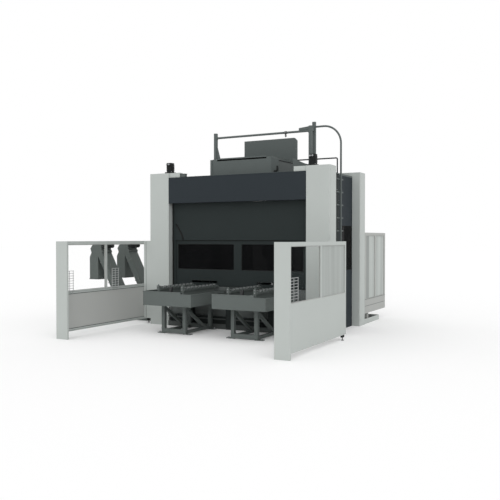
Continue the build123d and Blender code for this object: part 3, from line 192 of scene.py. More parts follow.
class Finish(NodeTree):
    """One procedural surface material, built node by node."""

    def __init__(self, name):
        self.material = bpy.data.materials.new(name)
        super().__init__(self.material)
        self.place = self.node("ShaderNodeTexCoord").outputs["Object"]

    def stretched(self, scale):
        """The place on the piece, stretched differently along X, Y and Z."""
        made = self.node("ShaderNodeVectorMath", {"operation": "MULTIPLY"},
                         {0: self.place, 1: scale})
        return made.outputs[0]

    def noise(self, scale, detail, place=None):
        made = self.node("ShaderNodeTexNoise", None, {
            "Vector": self.place if place is None else place,
            "Scale": scale, "Detail": detail, "Roughness": 0.55,
        })
        return Number(self, made.outputs["Fac"])

    def along(self, axis):
        made = self.node("ShaderNodeSeparateXYZ", None, {0: self.place})
        return Number(self, made.outputs[axis])

    def blend(self, share, first, second):
        """Colour between two colours."""
        made = self.node("ShaderNodeMix", {"data_type": "RGBA"}, {0: share, 6: first, 7: second})
        return made.outputs[2]

    def bump(self, height, strength, distance):
        made = self.node("ShaderNodeBump", None, {
            "Height": height, "Strength": strength, "Distance": distance})
        return made.outputs["Normal"]

    def close(self, **sockets):
        """Adds the surface shader and the output, and hands the material back."""
        names = {key.replace("_", " ").title().replace("Ior", "IOR"): value
                 for key, value in sockets.items()}
        shader = self.node("ShaderNodeBsdfPrincipled", None, names)
        self.node("ShaderNodeOutputMaterial", None, {0: shader.outputs[0]})
        return self.material


def shade(colour, factor):
    return tuple(min(1.0, part * factor) for part in colour[:3]) + (1.0,)


def powder_coat(name, colour, share, gloss, speck, dust, shine):
    """Baked paint: fine orange peel, slow tone changes, rub marks and a little floor dust."""
    finish, colour = Finish(name), shade(colour, share)
    tone = finish.noise(0.9, 4)
    peel = finish.noise(420, 2)
    rub = finish.noise(3.2, 5, finish.stretched((1.0, 1.0, 0.18)))
    low = (1.0 - finish.along(2) * 2.6).held() * finish.noise(14, 4) * dust
    base = finish.blend(tone, shade(colour, 0.955), shade(colour, 1.045))
    grain = finish.blend(peel.above(0.64) * speck * 4, base, shade(colour, 1.18))
    floor_dust = tuple(0.5 * part + 0.16 for part in colour[:3]) + (1.0,)
    return finish.close(
        base_color=finish.blend(low, grain, floor_dust),
        roughness=gloss + rub * 0.14 - 0.05,
        specular_ior_level=shine,
        normal=finish.bump(peel, speck * 3, 0.0006),
    )


def steel(name, colour, roughness, along, streak=0.35):
    """Ground or drawn steel: fine lines along one axis, with duller patches."""
    finish = Finish(name)
    scale = [260.0, 260.0, 260.0]
    scale[along] = 5.0
    lines = finish.noise(1.0, 3, finish.stretched(tuple(scale)))
    patch = finish.noise(5.5, 4)
    worn = lines * streak + patch * 0.3
    return finish.close(
        base_color=finish.blend(worn, shade(colour, 0.78), shade(colour, 1.1)),
        metallic=1.0,
        roughness=roughness + patch * 0.16 - 0.08,
        normal=finish.bump(lines, 0.12, 0.0004),
    )


def casting(name, colour):
    """Painted cast iron: a coarse skin under thick paint, with oily patches."""
    finish = Finish(name)
    skin = finish.noise(46, 5)
    pits = finish.noise(170, 2)
    tone = finish.noise(1.4, 4)
    oil = (finish.noise(2.2, 5, finish.stretched((1.0, 1.0, 0.25))) - 0.52).held() * 2.4
    paint = finish.blend(tone, shade(colour, 0.9), shade(colour, 1.08))
    return finish.close(
        base_color=finish.blend(oil.held() * 0.5, paint, shade(colour, 0.55)),
        roughness=0.55 - oil.held() * 0.2,
        normal=finish.bump(skin + pits * 0.3, 0.3, 0.0016),
    )


def moulded(name, colour, roughness=0.5, shine=0.3):
    """Moulded plastic or anodised housing with a fine grain."""
    finish = Finish(name)
    grain = finish.noise(900, 2)
    tone = finish.noise(4, 3)
    return finish.close(
        base_color=finish.blend(tone, shade(colour, 0.8), shade(colour, 1.25)),
        roughness=roughness + tone * 0.12 - 0.06,
        specular_ior_level=shine,
        normal=finish.bump(grain, 0.18, 0.0004),
    )


def rubber(name, pitch=0.0):
    """Black rubber, with cross ribs where a pitch is given."""
    finish = Finish(name)
    grain = finish.noise(500, 3)
    bloom = finish.noise(7, 4)
    height = grain * 0.3
    if pitch:
        height = height + (finish.along(2) * (2 * math.pi / pitch)).wave()
    return finish.close(
        base_color=finish.blend(bloom, (0.011, 0.011, 0.011, 1), (0.026, 0.026, 0.025, 1)),
        roughness=0.72 + bloom * 0.15,
        specular_ior_level=0.08,
        normal=finish.bump(height, 0.35, 0.0012),
    )


def dark_glass(name):
    """Tinted safety glass, with wiped patches in its gloss."""
    finish = Finish(name)
    wiped = finish.noise(2.3, 5, finish.stretched((1.0, 1.0, 0.35)))
    return finish.close(
        base_color=finish.blend(wiped, (0.0035, 0.0037, 0.004, 1), (0.007, 0.0074, 0.008, 1)),
        roughness=0.05 + wiped * 0.08,
        alpha=0.93 + wiped * 0.05,
        specular_ior_level=0.02,
    )


def clear_pane(name, colour):
    """Glazing: clear in the fences' front fields, frosted in the right far field and the rear.

    The frosted fields carry painted shade in front of what stands close behind them, and a painted
    dark reflection streak in the right far field.
    """
    mullion, cabin, column_edge, reflection_streak_line, shade_start = -1.53, 1.0, 2.66, -0.84, -1.46
    finish = Finish(name)
    haze = finish.noise(1.7, 4, finish.stretched((1.0, 2.2, 0.2)))
    bands = finish.noise(1.0, 3, finish.stretched((0.1, 4.5, 0.12)))
    back = finish.along(1)
    rear = back.above(cabin)
    right_far = finish.along(0).above(0.0) * back.above(mullion)
    frosted = (right_far + rear).held()
    # Painted shade: a dark band on the rear guards' panes beside the rear columns
    shaded_edge_band = rear * (1.0 - back.above(column_edge))
    # Painted dark reflection streak across the right far field at y -0.84
    from_line = back - reflection_streak_line
    streak = (1.0 - from_line * from_line * 60.0).held()
    front = right_far * (1.0 - rear)
    # Painted shade growing towards the back of the right far field, with the painted streak, mixed
    # towards black
    dark = shaded_edge_band.held() * 0.27 + front * (0.03 + (back - shade_start) * 0.12 + streak * 0.16)
    tone = ((bands - 0.38) * 3.2).held() * (1.0 - shaded_edge_band)
    frost = finish.blend(tone, shade(colour, 0.90), shade(colour, 1.12))
    clear = finish.blend(haze, (0.30, 0.32, 0.32, 1), (0.40, 0.42, 0.42, 1))
    return finish.close(
        base_color=finish.blend(frosted, clear, finish.blend(dark, frost, (0.0, 0.0, 0.0, 1))),
        roughness=0.10 + haze * 0.08 + frosted * 0.3,
        alpha=haze * 0.008 + 0.002 + frosted * 0.95,
        specular_ior_level=0.05,
    )


BRIGHT_STEEL = (0.56, 0.57, 0.58)

# Each finish: its maker and what the maker needs, where a word names one of the cell's colours.
# A paint takes its colour, the share of that colour, then gloss, speck, dust and shine.
FINISHES = {
    "light paint": (powder_coat, "light", 1.00, 0.45, 0.03, 0.06, 0.10),
    "guard paint": (powder_coat, "guard", 1.00, 0.45, 0.03, 0.04, 0.10),
    "infill paint": (powder_coat, "infill", 1.00, 0.50, 0.03, 0.04, 0.10),
    "header paint": (powder_coat, "header", 1.00, 0.45, 0.05, 0.08, 0.03),
    "door paint": (powder_coat, "door", 1.00, 0.45, 0.05, 0.08, 0.04),
    "sill paint": (powder_coat, "sill", 1.00, 0.50, 0.05, 0.10, 0.10),
    "roof paint": (powder_coat, "roof", 1.00, 0.45, 0.05, 0.10, 0.10),
    # The trough's end plate and slope cover paints are the roof grey darkened as painted shade
    "hatch paint": (powder_coat, "roof", 0.80, 0.45, 0.05, 0.10, 0.10),
    "slope paint": (powder_coat, "roof", 0.58, 0.45, 0.05, 0.10, 0.10),
    "pipe paint": (powder_coat, "roof", 0.36, 0.45, 0.05, 0.10, 0.10),
    "stand paint": (powder_coat, "stand", 1.00, 0.45, 0.05, 0.10, 0.10),
    "conveyor paint": (powder_coat, "conveyor", 1.00, 0.50, 0.05, 0.10, 0.10),
    # Plinth and skirt paints carry painted light that offsets the shade under the stands
    "plinth paint": (powder_coat, "plinth", 1.00, 0.50, 0.05, 0.10, 0.10),
    "skirt paint": (powder_coat, "plinth", 0.68, 0.50, 0.05, 0.10, 0.10),
    "casting paint": (casting, "casting"),
    "drawn steel across": (steel, BRIGHT_STEEL, 0.30, 0),
    "drawn steel back": (steel, BRIGHT_STEEL, 0.30, 1),
    "drawn steel up": (steel, BRIGHT_STEEL, 0.30, 2),
    "worn roller steel": (steel, (0.16, 0.165, 0.165), 0.46, 0, 0.5),
    "screw steel": (steel, (0.42, 0.43, 0.44), 0.36, 2, 0.2),
    "black housing": (moulded, (0.023, 0.025, 0.0245), 0.5, 0.05),
    "dark plastic": (moulded, (0.030, 0.031, 0.032)),
    "zinc wire": (moulded, (0.40, 0.41, 0.41), 0.4),
    "gasket rubber": (rubber,),
    "toothed belt": (rubber, 0.016),
    "dark glass": (dark_glass,),
    "clear pane": (clear_pane, "light"),
}

COLUMNS = ("front_column_left", "front_column_right", "rear_column_left", "rear_column_right")
NODE_FINISH = {
    "light paint": COLUMNS + ("shoulder_blocks", "fence_left", "fence_right", "floor_trays"),
    "guard paint": ("rear_guards",),
    "header paint": ("header_fascia", "side_wall_left", "side_wall_right", "rear_wall"),
    "door paint": ("upper_front_panel", "lifting_door", "service_duct"),
    "sill paint": ("sill_beam",),
    "plinth paint": ("lower_front_wall",),
    "roof paint": (
        "roof_panel", "roof_trough", "trough_lid", "rear_hood", "mast_left", "mast_right",
        "anchor_rail", "ladder",
    ),
    "pipe paint": ("handrail",),
    "stand paint": ("stand_frame_left", "stand_frame_right", "drip_trays", "roller_rails"),
    "conveyor paint": ("conveyor_housing_front", "conveyor_housing_rear"),
    "casting paint": ("table_bed", "table_slide", "column_bed", "machine_column", "headstock"),
    "drawn steel across": ("door_sync_shaft", "door_idler_left", "door_idler_right"),
    "drawn steel back": (
        "conveyor_shaft_front", "conveyor_shaft_rear", "spindle", "tool_wheel",
        "machine_pallet", "rotary_table",
    ),
    "drawn steel up": ("door_guide_rails",),
    "worn roller steel": ("anchor_ring",),
    "black housing": ("door_drive_motors", "conveyor_motors", "black_fittings"),
    "dark plastic": ("door_carriages", "shuttle_left", "shuttle_right", "wire_racks"),
    "toothed belt": ("door_belts",),
    "dark glass": ("side_windows", "door_windows"),
    "clear pane": ("guard_windows",),
}


def finish(name):
    """The material of that name, made the first time it is asked for."""
    made = bpy.data.materials.get(name)
    if made is None:
        maker, *values = FINISHES[name]
        colours = bpy.context.scene.cell_colours
        values = [getattr(colours, value) if isinstance(value, str) else value for value in values]
        made = maker(name, *values)
    return made


# Shapes

def spaced(low, high, count):
    """Evenly spaced values from low to high."""
    return [low + (high - low) * step / (count - 1) for step in range(count)]


def linked(name, data):
    """A new object on that data, in the scene."""
    made = bpy.data.objects.new(name, data)
    bpy.context.scene.collection.objects.link(made)
    return made


def shapes(count):
    return [Shape() for _ in range(count)]


class Shape:
    """A mesh under construction, in metres in the frame's own place."""

    def __init__(self):
        self.mesh = bmesh.new()

    def slab(self, corner, opposite, rounding=0.0, steps=1):
        """Rectangular block between two opposite corners, with its edges rounded."""
        low = Vector([min(pair) for pair in zip(corner, opposite)])
        high = Vector([max(pair) for pair in zip(corner, opposite)])
        made = bmesh.ops.create_cube(self.mesh, size=1.0)["verts"]
        bmesh.ops.scale(self.mesh, vec=high - low, verts=made)
        bmesh.ops.translate(self.mesh, vec=(low + high) / 2, verts=made)
        if rounding:
            edges = list({edge for vert in made for edge in vert.link_edges})
            made = bmesh.ops.bevel(
                self.mesh, geom=edges, offset=rounding, segments=steps, profile=0.5,
                affect="EDGES", material=-1, clamp_overlap=True,
            )["verts"]
        return made

    def bar(self, start, end, radius, sides, tip=None):
        """Round or many-sided bar, tapered where a tip radius is given."""
        start, end = Vector(start), Vector(end)
        run = end - start
        turn = run.to_track_quat("Z", "Y").to_matrix().to_4x4()
        return bmesh.ops.create_cone(
            self.mesh, cap_ends=True, cap_tris=False, segments=sides, radius1=radius,
            radius2=radius if tip is None else tip, depth=run.length,
            matrix=Matrix.Translation((start + end) / 2) @ turn,
        )["verts"]

    def wire(self, start, end, radius):
        self.bar(start, end, radius, 8)

    def lathe(self, profile, place, axis, steps):
        """Closed turned shape from (radius, distance along the axis) points."""
        axis = Vector(axis).normalized()
        side = axis.orthogonal().normalized()
        verts = [self.mesh.verts.new(Vector(place) + side * r + axis * t) for r, t in profile]
        edges = [self.mesh.edges.new(pair) for pair in zip(verts, verts[1:])]
        bmesh.ops.spin(
            self.mesh, geom=verts + edges, cent=Vector(place), axis=axis,
            angle=2 * math.pi, steps=steps, use_merge=True,
        )
        bmesh.ops.remove_doubles(self.mesh, verts=self.mesh.verts, dist=1e-6)

    def ring(self, place, axis, radius, thickness):
        """Round ring of round wire."""
        axis = Vector(axis).normalized()
        side = axis.orthogonal().normalized()
        made = bmesh.ops.create_circle(
            self.mesh, segments=10, radius=thickness,
            matrix=Matrix.Translation(Vector(place) + side * radius)
            @ side.cross(axis).to_track_quat("Z", "Y").to_matrix().to_4x4(),
        )["verts"]
        edges = list({edge for vert in made for edge in vert.link_edges})
        bmesh.ops.spin(self.mesh, geom=made + edges, cent=Vector(place), axis=axis,
                       angle=2 * math.pi, steps=24, use_merge=True)

    def collar(self, centre, first, second, width, depth):
        """Rectangular ring: half sides as two vectors, its width inwards, its depth as a vector."""
        centre, first, second = Vector(centre), Vector(first), Vector(second)
        corners = [centre + first * a + second * b for a, b in ((-1, -1), (1, -1), (1, 1), (-1, 1))]
        face = self.mesh.faces.new([self.mesh.verts.new(point) for point in corners])
        face.normal_update()
        ring = bmesh.ops.inset_region(self.mesh, faces=[face], thickness=width, use_boundary=True,
                                      use_even_offset=True)["faces"]
        bmesh.ops.delete(self.mesh, geom=[face], context="FACES_ONLY")
        moved = bmesh.ops.extrude_face_region(self.mesh, geom=ring)["geom"]
        moved = [item for item in moved if isinstance(item, bmesh.types.BMVert)]
        bmesh.ops.translate(self.mesh, vec=Vector(depth), verts=moved)

    def screw(self, seat, axis, radius):
        """Low round head with a round socket."""
        seat, axis = Vector(seat), Vector(axis).normalized()
        made = self.bar(seat, seat + axis * radius * 0.75, radius, 12, radius * 0.88)
        faces = {face for vert in made for face in vert.link_faces}
        top = max(faces, key=lambda face: face.calc_center_median().dot(axis))
        bmesh.ops.inset_region(self.mesh, faces=[top], thickness=radius * 0.42)
        bmesh.ops.inset_region(self.mesh, faces=[top], thickness=radius * 0.03, depth=-radius * 0.4)

    def bolt(self, seat, axis, radius):
        """Hexagon bolt on its washer."""
        seat, axis = Vector(seat), Vector(axis).normalized()
        washer = seat + axis * radius * 0.22
        self.bar(seat, washer, radius * 1.35, 16)
        self.bar(washer, seat + axis * radius * 1.15, radius, 6, radius * 0.93)

    def screws(self, xs, ys, zs, axis, radius):
        """A screw wherever the three lists of places cross."""
        for seat in product(xs, ys, zs):
            self.screw(seat, axis, radius)

    def bolts(self, xs, ys, zs, axis, radius):
        for seat in product(xs, ys, zs):
            self.bolt(seat, axis, radius)

    def done(self, name, material, slot, body="frame"):
        """Makes the piece: normals out, soft shading between sharp edges, riding on its body."""
        bmesh.ops.recalc_face_normals(self.mesh, faces=self.mesh.faces)
        for face in self.mesh.faces:
            face.smooth = True
        for edge in self.mesh.edges:
            edge.smooth = edge.calc_face_angle(0.0) < math.radians(38)
        data = bpy.data.meshes.new(name)
        self.mesh.to_mesh(data)
        self.mesh.free()
        data.materials.append(finish(material))
        piece = linked(name, data)
        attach(piece, body)
        return piece


# Operators, one for each group of pieces

# Middles of the two drip trays and of the two stand frames, along X
TRAY_CENTRES = (-0.800, 0.935)
FRAME_CENTRES = (-0.825, 0.910)
# From a fence's outer face to the inner face of its sheet cassette
FENCE_DEPTH = 0.040


class CELL_OT_paint(bpy.types.Operator):
    """Give every solid of the frame its finish."""
    bl_idname = "cell.paint"
    bl_label = "Paint the solids"

    def execute(self, context):
        left = set(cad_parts)
        for name, nodes in NODE_FINISH.items():
            for node in nodes:
                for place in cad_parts[node].material_slots:
                    place.material = finish(name)
                left.remove(node)
        if left:
            raise RuntimeError("without a finish: " + ", ".join(sorted(left)))
        return {"FINISHED"}


class CELL_OT_columns(bpy.types.Operator):
    """Screwed cover sheets on the outer faces of the four cabin columns."""
    bl_idname = "cell.columns"
    bl_label = "Column covers"

    def execute(self, context):
        use = context.scene.cell_sizes
        covers, heads = shapes(2)
        margin = 0.030
        for node in COLUMNS:
            low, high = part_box(node)
            side = 1 if low[0] > 0 else -1
            outer = high[0] if side > 0 else low[0]
            face = outer + side * use.cover
            near, far = low[1] + margin, high[1] - margin
            levels = spaced(0.16, high[2] - 0.09, 8)
            covers.slab((outer, near, 0.10), (face, far, high[2] - 0.035), use.edge / 2)
            heads.screws((face,), (near + 0.016, far - 0.016), levels, X * side, use.screw)
            if node.startswith("front"):
                heads.screws((low[0] + margin, high[0] - margin), (low[1],), levels,
                             -Y, use.screw * 0.8)
        covers.done("column_covers", "light paint", "body_grey")
        heads.done("column_screws", "light paint", "body_grey")
        return {"FINISHED"}


class CELL_OT_header(bpy.types.Operator):
    """Hems of the header, seals and flanges below it, the cable inlet and the sill's skirt, whose
    paint is lifted by painted light.
    """
    bl_idname = "cell.header"
    bl_label = "Header hem"

    def execute(self, context):
        use = context.scene.cell_sizes
        hem, edge, seals, flanges, inlet, skirt = shapes(6)
        low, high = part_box("header_fascia")
        for z in (low[2] + 0.001, high[2] - 0.016):
            hem.slab((low[0] + 0.001, low[1] - 0.002, z), (high[0] - 0.001, low[1], z + 0.015),
                     use.edge / 2)
        hem.done("header_hems", "header paint", "header_paint")

        left, seat, lid = -1.469, high[2] + 0.0003, high[2] + 0.073
        inlet.slab((left, 0.045, seat), (left + 0.134, 0.135, lid), use.edge, 2)
        inlet.slab((left, 0.038, lid), (left + 0.140, 0.142, lid + 0.012), use.edge / 2)

        low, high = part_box("upper_front_panel")
        front, back, sill = low[1] + 0.008, high[1] - 0.001, 0.948
        edge.slab((low[0] + 0.002, front - 0.003, low[2] + 0.001),
                  (high[0] - 0.002, front, low[2] + 0.034), use.edge / 2)
        edge.screws((low[0] + 0.045, high[0] - 0.045), (front,),
                    spaced(low[2] + 0.10, high[2] - 0.06, 4), -Y, use.screw * 0.8)
        edge.done("upper_panel_hem", "door paint", "cabin_dark")
        seals.slab((low[0] + 0.002, high[1], low[2] - 0.012),
                   (high[0] - 0.002, high[1] + 0.004, low[2] + 0.022), 0.001)
        for side in (-1, 1):
            column = side * (high[0] - 0.001)
            seal, flange = side * (high[0] - 0.030), side * (high[0] - 0.088)
            seals.slab((column, low[1] - 0.007, low[2]), (seal, low[1], high[2] - 0.001), 0.001)
            seals.slab((column, low[1] - 0.007, sill), (seal, back, low[2]), 0.001)
            flanges.slab((seal, back - 0.014, sill), (flange, back, low[2]), use.edge / 2)
        start, bend, end = (Vector((x, low[1], z)) for x, z in (
            (-1.664, 2.397), (-1.512, 2.215), (-1.459, 2.030)))
        arc = [start * (1 - t) ** 2 + bend * 2 * t * (1 - t) + end * t ** 2
               for t in spaced(0.0, 1.0, 9)]
        for first, second in zip(arc, arc[1:]):
            seals.wire(first, second, 0.017)
        seals.done("front_seals", "gasket rubber", "belt_rubber")
        flanges.done("door_side_flanges", "door paint", "cabin_dark")
        inlet.done("cable_inlet_box", "roof paint", "roof_grey")

        # Skirt strips in a paint lifted by painted light against the shade under the stands
        face = -0.020
        spans_between_posts = ((-1.764, -1.242), (-1.078, -0.172), (-0.008, 0.898), (1.062, 1.764))
        for left, right in spans_between_posts:
            skirt.slab((left, face - 0.006, 0.010), (right, face, 0.115), use.edge)
            skirt.slab((left, face - 0.008, 0.212), (right, face, 0.240), use.edge)
        skirt.done("plinth_skirt", "skirt paint", "lower_dark")
        return {"FINISHED"}


class CELL_OT_door(bpy.types.Operator):
    """Window gaskets, bottom seal, slot lips and clamp screws of the lifting door."""
    bl_idname = "cell.door"
    bl_label = "Door seals"

    def execute(self, context):
        use = context.scene.cell_sizes
        gaskets, lips, rail = shapes(3)
        low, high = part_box("lifting_door")
        pane_low, pane_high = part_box("door_windows")
        inner, outer = 0.100, pane_high[0]
        middle, half_height = (pane_high[2] + pane_low[2]) / 2, (pane_high[2] - pane_low[2]) / 2
        for side in (-1, 1):
            for face, reach in ((pane_low[1], -0.008), (pane_high[1], 0.008)):
                gaskets.collar((side * (inner + outer) / 2, face, middle), X * (outer - inner) / 2,
                               Z * half_height, use.gasket, (0, reach, 0))
            gaskets.slab((side * (high[0] - 0.002), low[1] - 0.004, low[2] + 0.30),
                         (side * (high[0] - 0.014), low[1], high[2] - 0.02), 0.001)
        gaskets.slab((low[0] + 0.004, low[1] + 0.008, low[2] - 0.008),
                     (high[0] - 0.004, high[1] - 0.008, low[2]), 0.0015)
        gaskets.done("door_gaskets", "gasket rubber", "belt_rubber", "door")
        slot = low[2] + 0.0945
        for centre in (-0.890, 0.845):
            lips.collar((centre, low[1], slot), X * 0.357, Z * 0.0345, 0.010, (0, -0.003, 0))
            lips.screws(spaced(centre - 0.352, centre + 0.352, 5), (low[1] - 0.003,),
                        (slot + 0.0295,), -Y, use.screw * 0.55)
        lips.done("door_slot_lips", "sill paint", "lower_dark", "door")
        rail.screws(spaced(low[0] + 0.06, high[0] - 0.06, 9), (low[1],),
                    (low[2] + 0.05, high[2] - 0.045), -Y, use.screw * 0.7)
        rail.done("door_screws", "door paint", "cabin_dark", "door")
        return {"FINISHED"}


class CELL_OT_motors(bpy.types.Operator):
    """Cooling fins, caps, plugs and screws of the door drive motors."""
    bl_idname = "cell.motors"
    bl_label = "Door motor fins"

    def execute(self, context):
        use = context.scene.cell_sizes
        fins, plugs, heads = shapes(3)
        low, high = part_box("door_drive_motors")
        half, bolts, flange = 0.070, 0.080, low[2] + 0.036
        fin, cap, top = half + 0.005, half - 0.002, high[2]
        y = (low[1] + high[1]) / 2
        for side in (-1, 1):
            x = side * (high[0] - 0.095)
            for z in spaced(flange + 0.035, top - 0.045, 7):
                fins.slab((x - fin, y - fin, z), (x + fin, y + fin, z + 0.006), 0.001)
            fins.slab((x - cap, y - cap, top - 0.004), (x + cap, y + cap, top + 0.014), 0.006, 2)
            for shift in (-0.028, 0.028):
                plugs.lathe([(0, 0), (0.014, 0), (0.014, 0.022), (0.019, 0.026), (0.019, 0.052),
                             (0.012, 0.056), (0, 0.056)],
                            (x + shift, y - half, top - 0.028), -Y, 16)
            heads.bolts((x - bolts, x + bolts), (y - bolts, y + bolts), (flange,), Z, use.screw)
        fins.done("motor_fins", "black housing", "drive_black")
        plugs.done("motor_plugs", "screw steel", "slide_steel")
        heads.done("motor_bolts", "screw steel", "slide_steel")
        return {"FINISHED"}


class CELL_OT_panes(bpy.types.Operator):
    """Edging round the panes of the fences and the rear guards, seals of the side windows."""
    bl_idname = "cell.panes"
    bl_label = "Pane edging"

    def execute(self, context):
        use = context.scene.cell_sizes
        edging, seals = shapes(2)

        def frame_pane(shape, x, y, z, reach):
            for side in (-1, 1):
                shape.collar((x + side * 0.003, sum(y) / 2, sum(z) / 2), Y * (y[1] - y[0]) / 2,
                             Z * (z[1] - z[0]) / 2, use.gasket, (side * reach, 0, 0))

        low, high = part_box("guard_windows")
        for plane, mullion, far in ((-2.527, -1.384, 0.080), (2.703, -1.510, -0.210)):
            for y in ((low[1], mullion), (mullion + 0.050, far)):
                frame_pane(edging, plane, y, (0.955, 1.930), 0.008)
        for side, y in product((-1, 1), ((2.390, 3.070), (3.160, high[1]))):
            frame_pane(edging, side * 2.286, y, (low[2], high[2]), 0.008)
        low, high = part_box("side_windows")
        for side in (-1, 1):
            frame_pane(seals, side * (high[0] - 0.004), (low[1], high[1]), (low[2], high[2]), 0.007)
        edging.done("pane_edging", "guard paint", "body_grey")
        seals.done("side_window_seals", "gasket rubber", "belt_rubber")
        return {"FINISHED"}


class CELL_OT_fences(bpy.types.Operator):
    """Infill sheets, seams and rivets of the fences, and the left fence's closing sheet; dark
    strips round the infills are painted shadow gaps.
    """
    bl_idname = "cell.fences"
    bl_label = "Fence details"

    def execute(self, context):
        use = context.scene.cell_sizes
        rivets, infill, seams, closing = shapes(4)
        z = (0.162, 0.903)
        for node, side, end in (("fence_left", -1, 0.300), ("fence_right", 1, 0.060)):
            low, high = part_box(node)
            outer = high[0] if side > 0 else low[0]
            inner = outer - side * FENCE_DEPTH
            sheet = inner + side * 0.0058
            y = (low[1] + 0.047, high[1] - end - 0.002)
            infill.slab((sheet, y[0], z[0]), (sheet + side * 0.002, y[1], z[1]), 0.0005)
            # Dark strip round the infill stands in for its shadow gap: painted shade
            seams.collar((sheet, sum(y) / 2, sum(z) / 2), Y * (y[1] - y[0]) / 2,
                         Z * (z[1] - z[0]) / 2, 0.013, (-side * 0.003, 0, 0))
            for level in (0.130, 0.932):
                seams.slab((inner, y[0] - 0.04, level),
                           (inner - side * 0.0012, y[1] + 0.04, level + 0.005))
            rivets.screws((outer,), spaced(low[1] + 0.09, high[1] - 0.05, 10), (0.135, 0.930),
                          X * side, use.screw * 0.55)
            rivets.screws((outer - side * 0.275,), (low[1] + 0.012, low[1] + 0.033), (1.960,),
                          -X * side, use.screw * 0.5)
        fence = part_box("fence_left")[0][0] + FENCE_DEPTH
        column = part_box("front_column_left")[0][0]
        closing.slab((fence, 0.016, 0.130), (column, 0.020, 1.998), 0.001)
        seams.slab((fence + 0.058, 0.0148, 0.140), (fence + 0.070, 0.016, 1.990))
        closing.done("fence_closing_sheet", "light paint", "body_grey")
        infill.done("fence_infills", "infill paint", "body_grey")
        seams.done("infill_seams", "stand paint", "stand_grey")
        rivets.done("fence_rivets", "light paint", "body_grey")
        return {"FINISHED"}


class CELL_OT_racks(bpy.types.Operator):
    """Welded round wires of the racks, hooked over the fences' sills."""
    bl_idname = "cell.racks"
    bl_label = "Wire racks"

    def execute(self, context):
        radius = context.scene.cell_sizes.wire
        racks = Shape()
        low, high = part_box("wire_racks")
        sill, top = low[2] + 0.060, high[2]
        left, right = low[0], high[0]
        for wall, side, near, far in ((left, -1, -1.195, -0.965), (left, -1, -2.665, -2.435),
                                      (right, 1, -2.770, -2.400)):
            face, hook = wall - side * (0.024 - radius), wall - side * radius
            cross = face - side * radius * 1.6
            ends = (near + radius, far - radius)
            for y in (ends[0], (near + far) / 2, ends[1]):
                racks.wire((face, y, sill), (face, y, top), radius)
            for z in spaced(sill + radius, top - radius, 9):
                racks.wire((cross, near, z), (cross, far, z), radius * 0.85)
            for y in ends:
                racks.wire((face, y, sill + radius), (hook, y, sill + radius), radius)
                racks.wire((hook, y, sill + radius), (hook, y, low[2]), radius)
        piece = racks.done("rack_wires", "zinc wire", "slide_steel")
        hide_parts("wire_racks")
        return {"FINISHED"}


class CELL_OT_stands(bpy.types.Operator):
    """Weld beads, anchor bolts, tray hems and drain stubs of the pallet stands."""
    bl_idname = "cell.stands"
    bl_label = "Stand details"

    def execute(self, context):
        use = context.scene.cell_sizes
        beads, bolts, hems, drains = shapes(4)
        legs = (-1.127, -0.100)
        for middle in FRAME_CENTRES:
            for side, y, z in product((-1, 1), legs, (0.108, 0.622)):
                beads.collar((middle + side * 0.272, y, z), X * 0.044, Y * 0.044, 0.0045,
                             (0, 0, 0.004))
            bolts.bolts((middle - 0.385, middle + 0.385), legs, (0.018,), Z, use.bolt)
        low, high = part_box("drip_trays")
        front, back, floor, rim = low[1], high[1], low[2], high[2]
        fold, round_off = 0.003, use.edge / 2
        for centre in TRAY_CENTRES:
            left, right, step = centre - 0.615, centre + 0.615, centre + 0.355
            top, lower = rim + 0.0005, rim - 0.0395
            hems.slab((left - fold, front - fold, rim - 0.028), (step, front, top), round_off)
            hems.slab((left - fold, front, rim - 0.028), (left, back - 0.002, top), round_off)
            hems.slab((step, front - fold, rim - 0.068), (right + fold, front, lower), round_off)
            hems.slab((right, front, rim - 0.068), (right + fold, back - 0.002, lower), round_off)
            hems.slab((left - 0.002, front - 0.002, floor), (right + 0.002, front, floor + 0.014),
                      round_off)
            drains.lathe([(0, 0), (0.030, 0), (0.030, 0.008), (0.021, 0.008), (0.021, 0.050),
                          (0.027, 0.054), (0.027, 0.078), (0, 0.078)],
                         (centre, -0.45, floor + 0.0002), -Z, 20)
        beads.done("stand_weld_beads", "stand paint", "stand_grey")
        bolts.done("stand_anchor_bolts", "screw steel", "slide_steel")
        hems.done("tray_hems", "stand paint", "stand_grey")
        drains.done("tray_drains", "screw steel", "slide_steel")
        return {"FINISHED"}


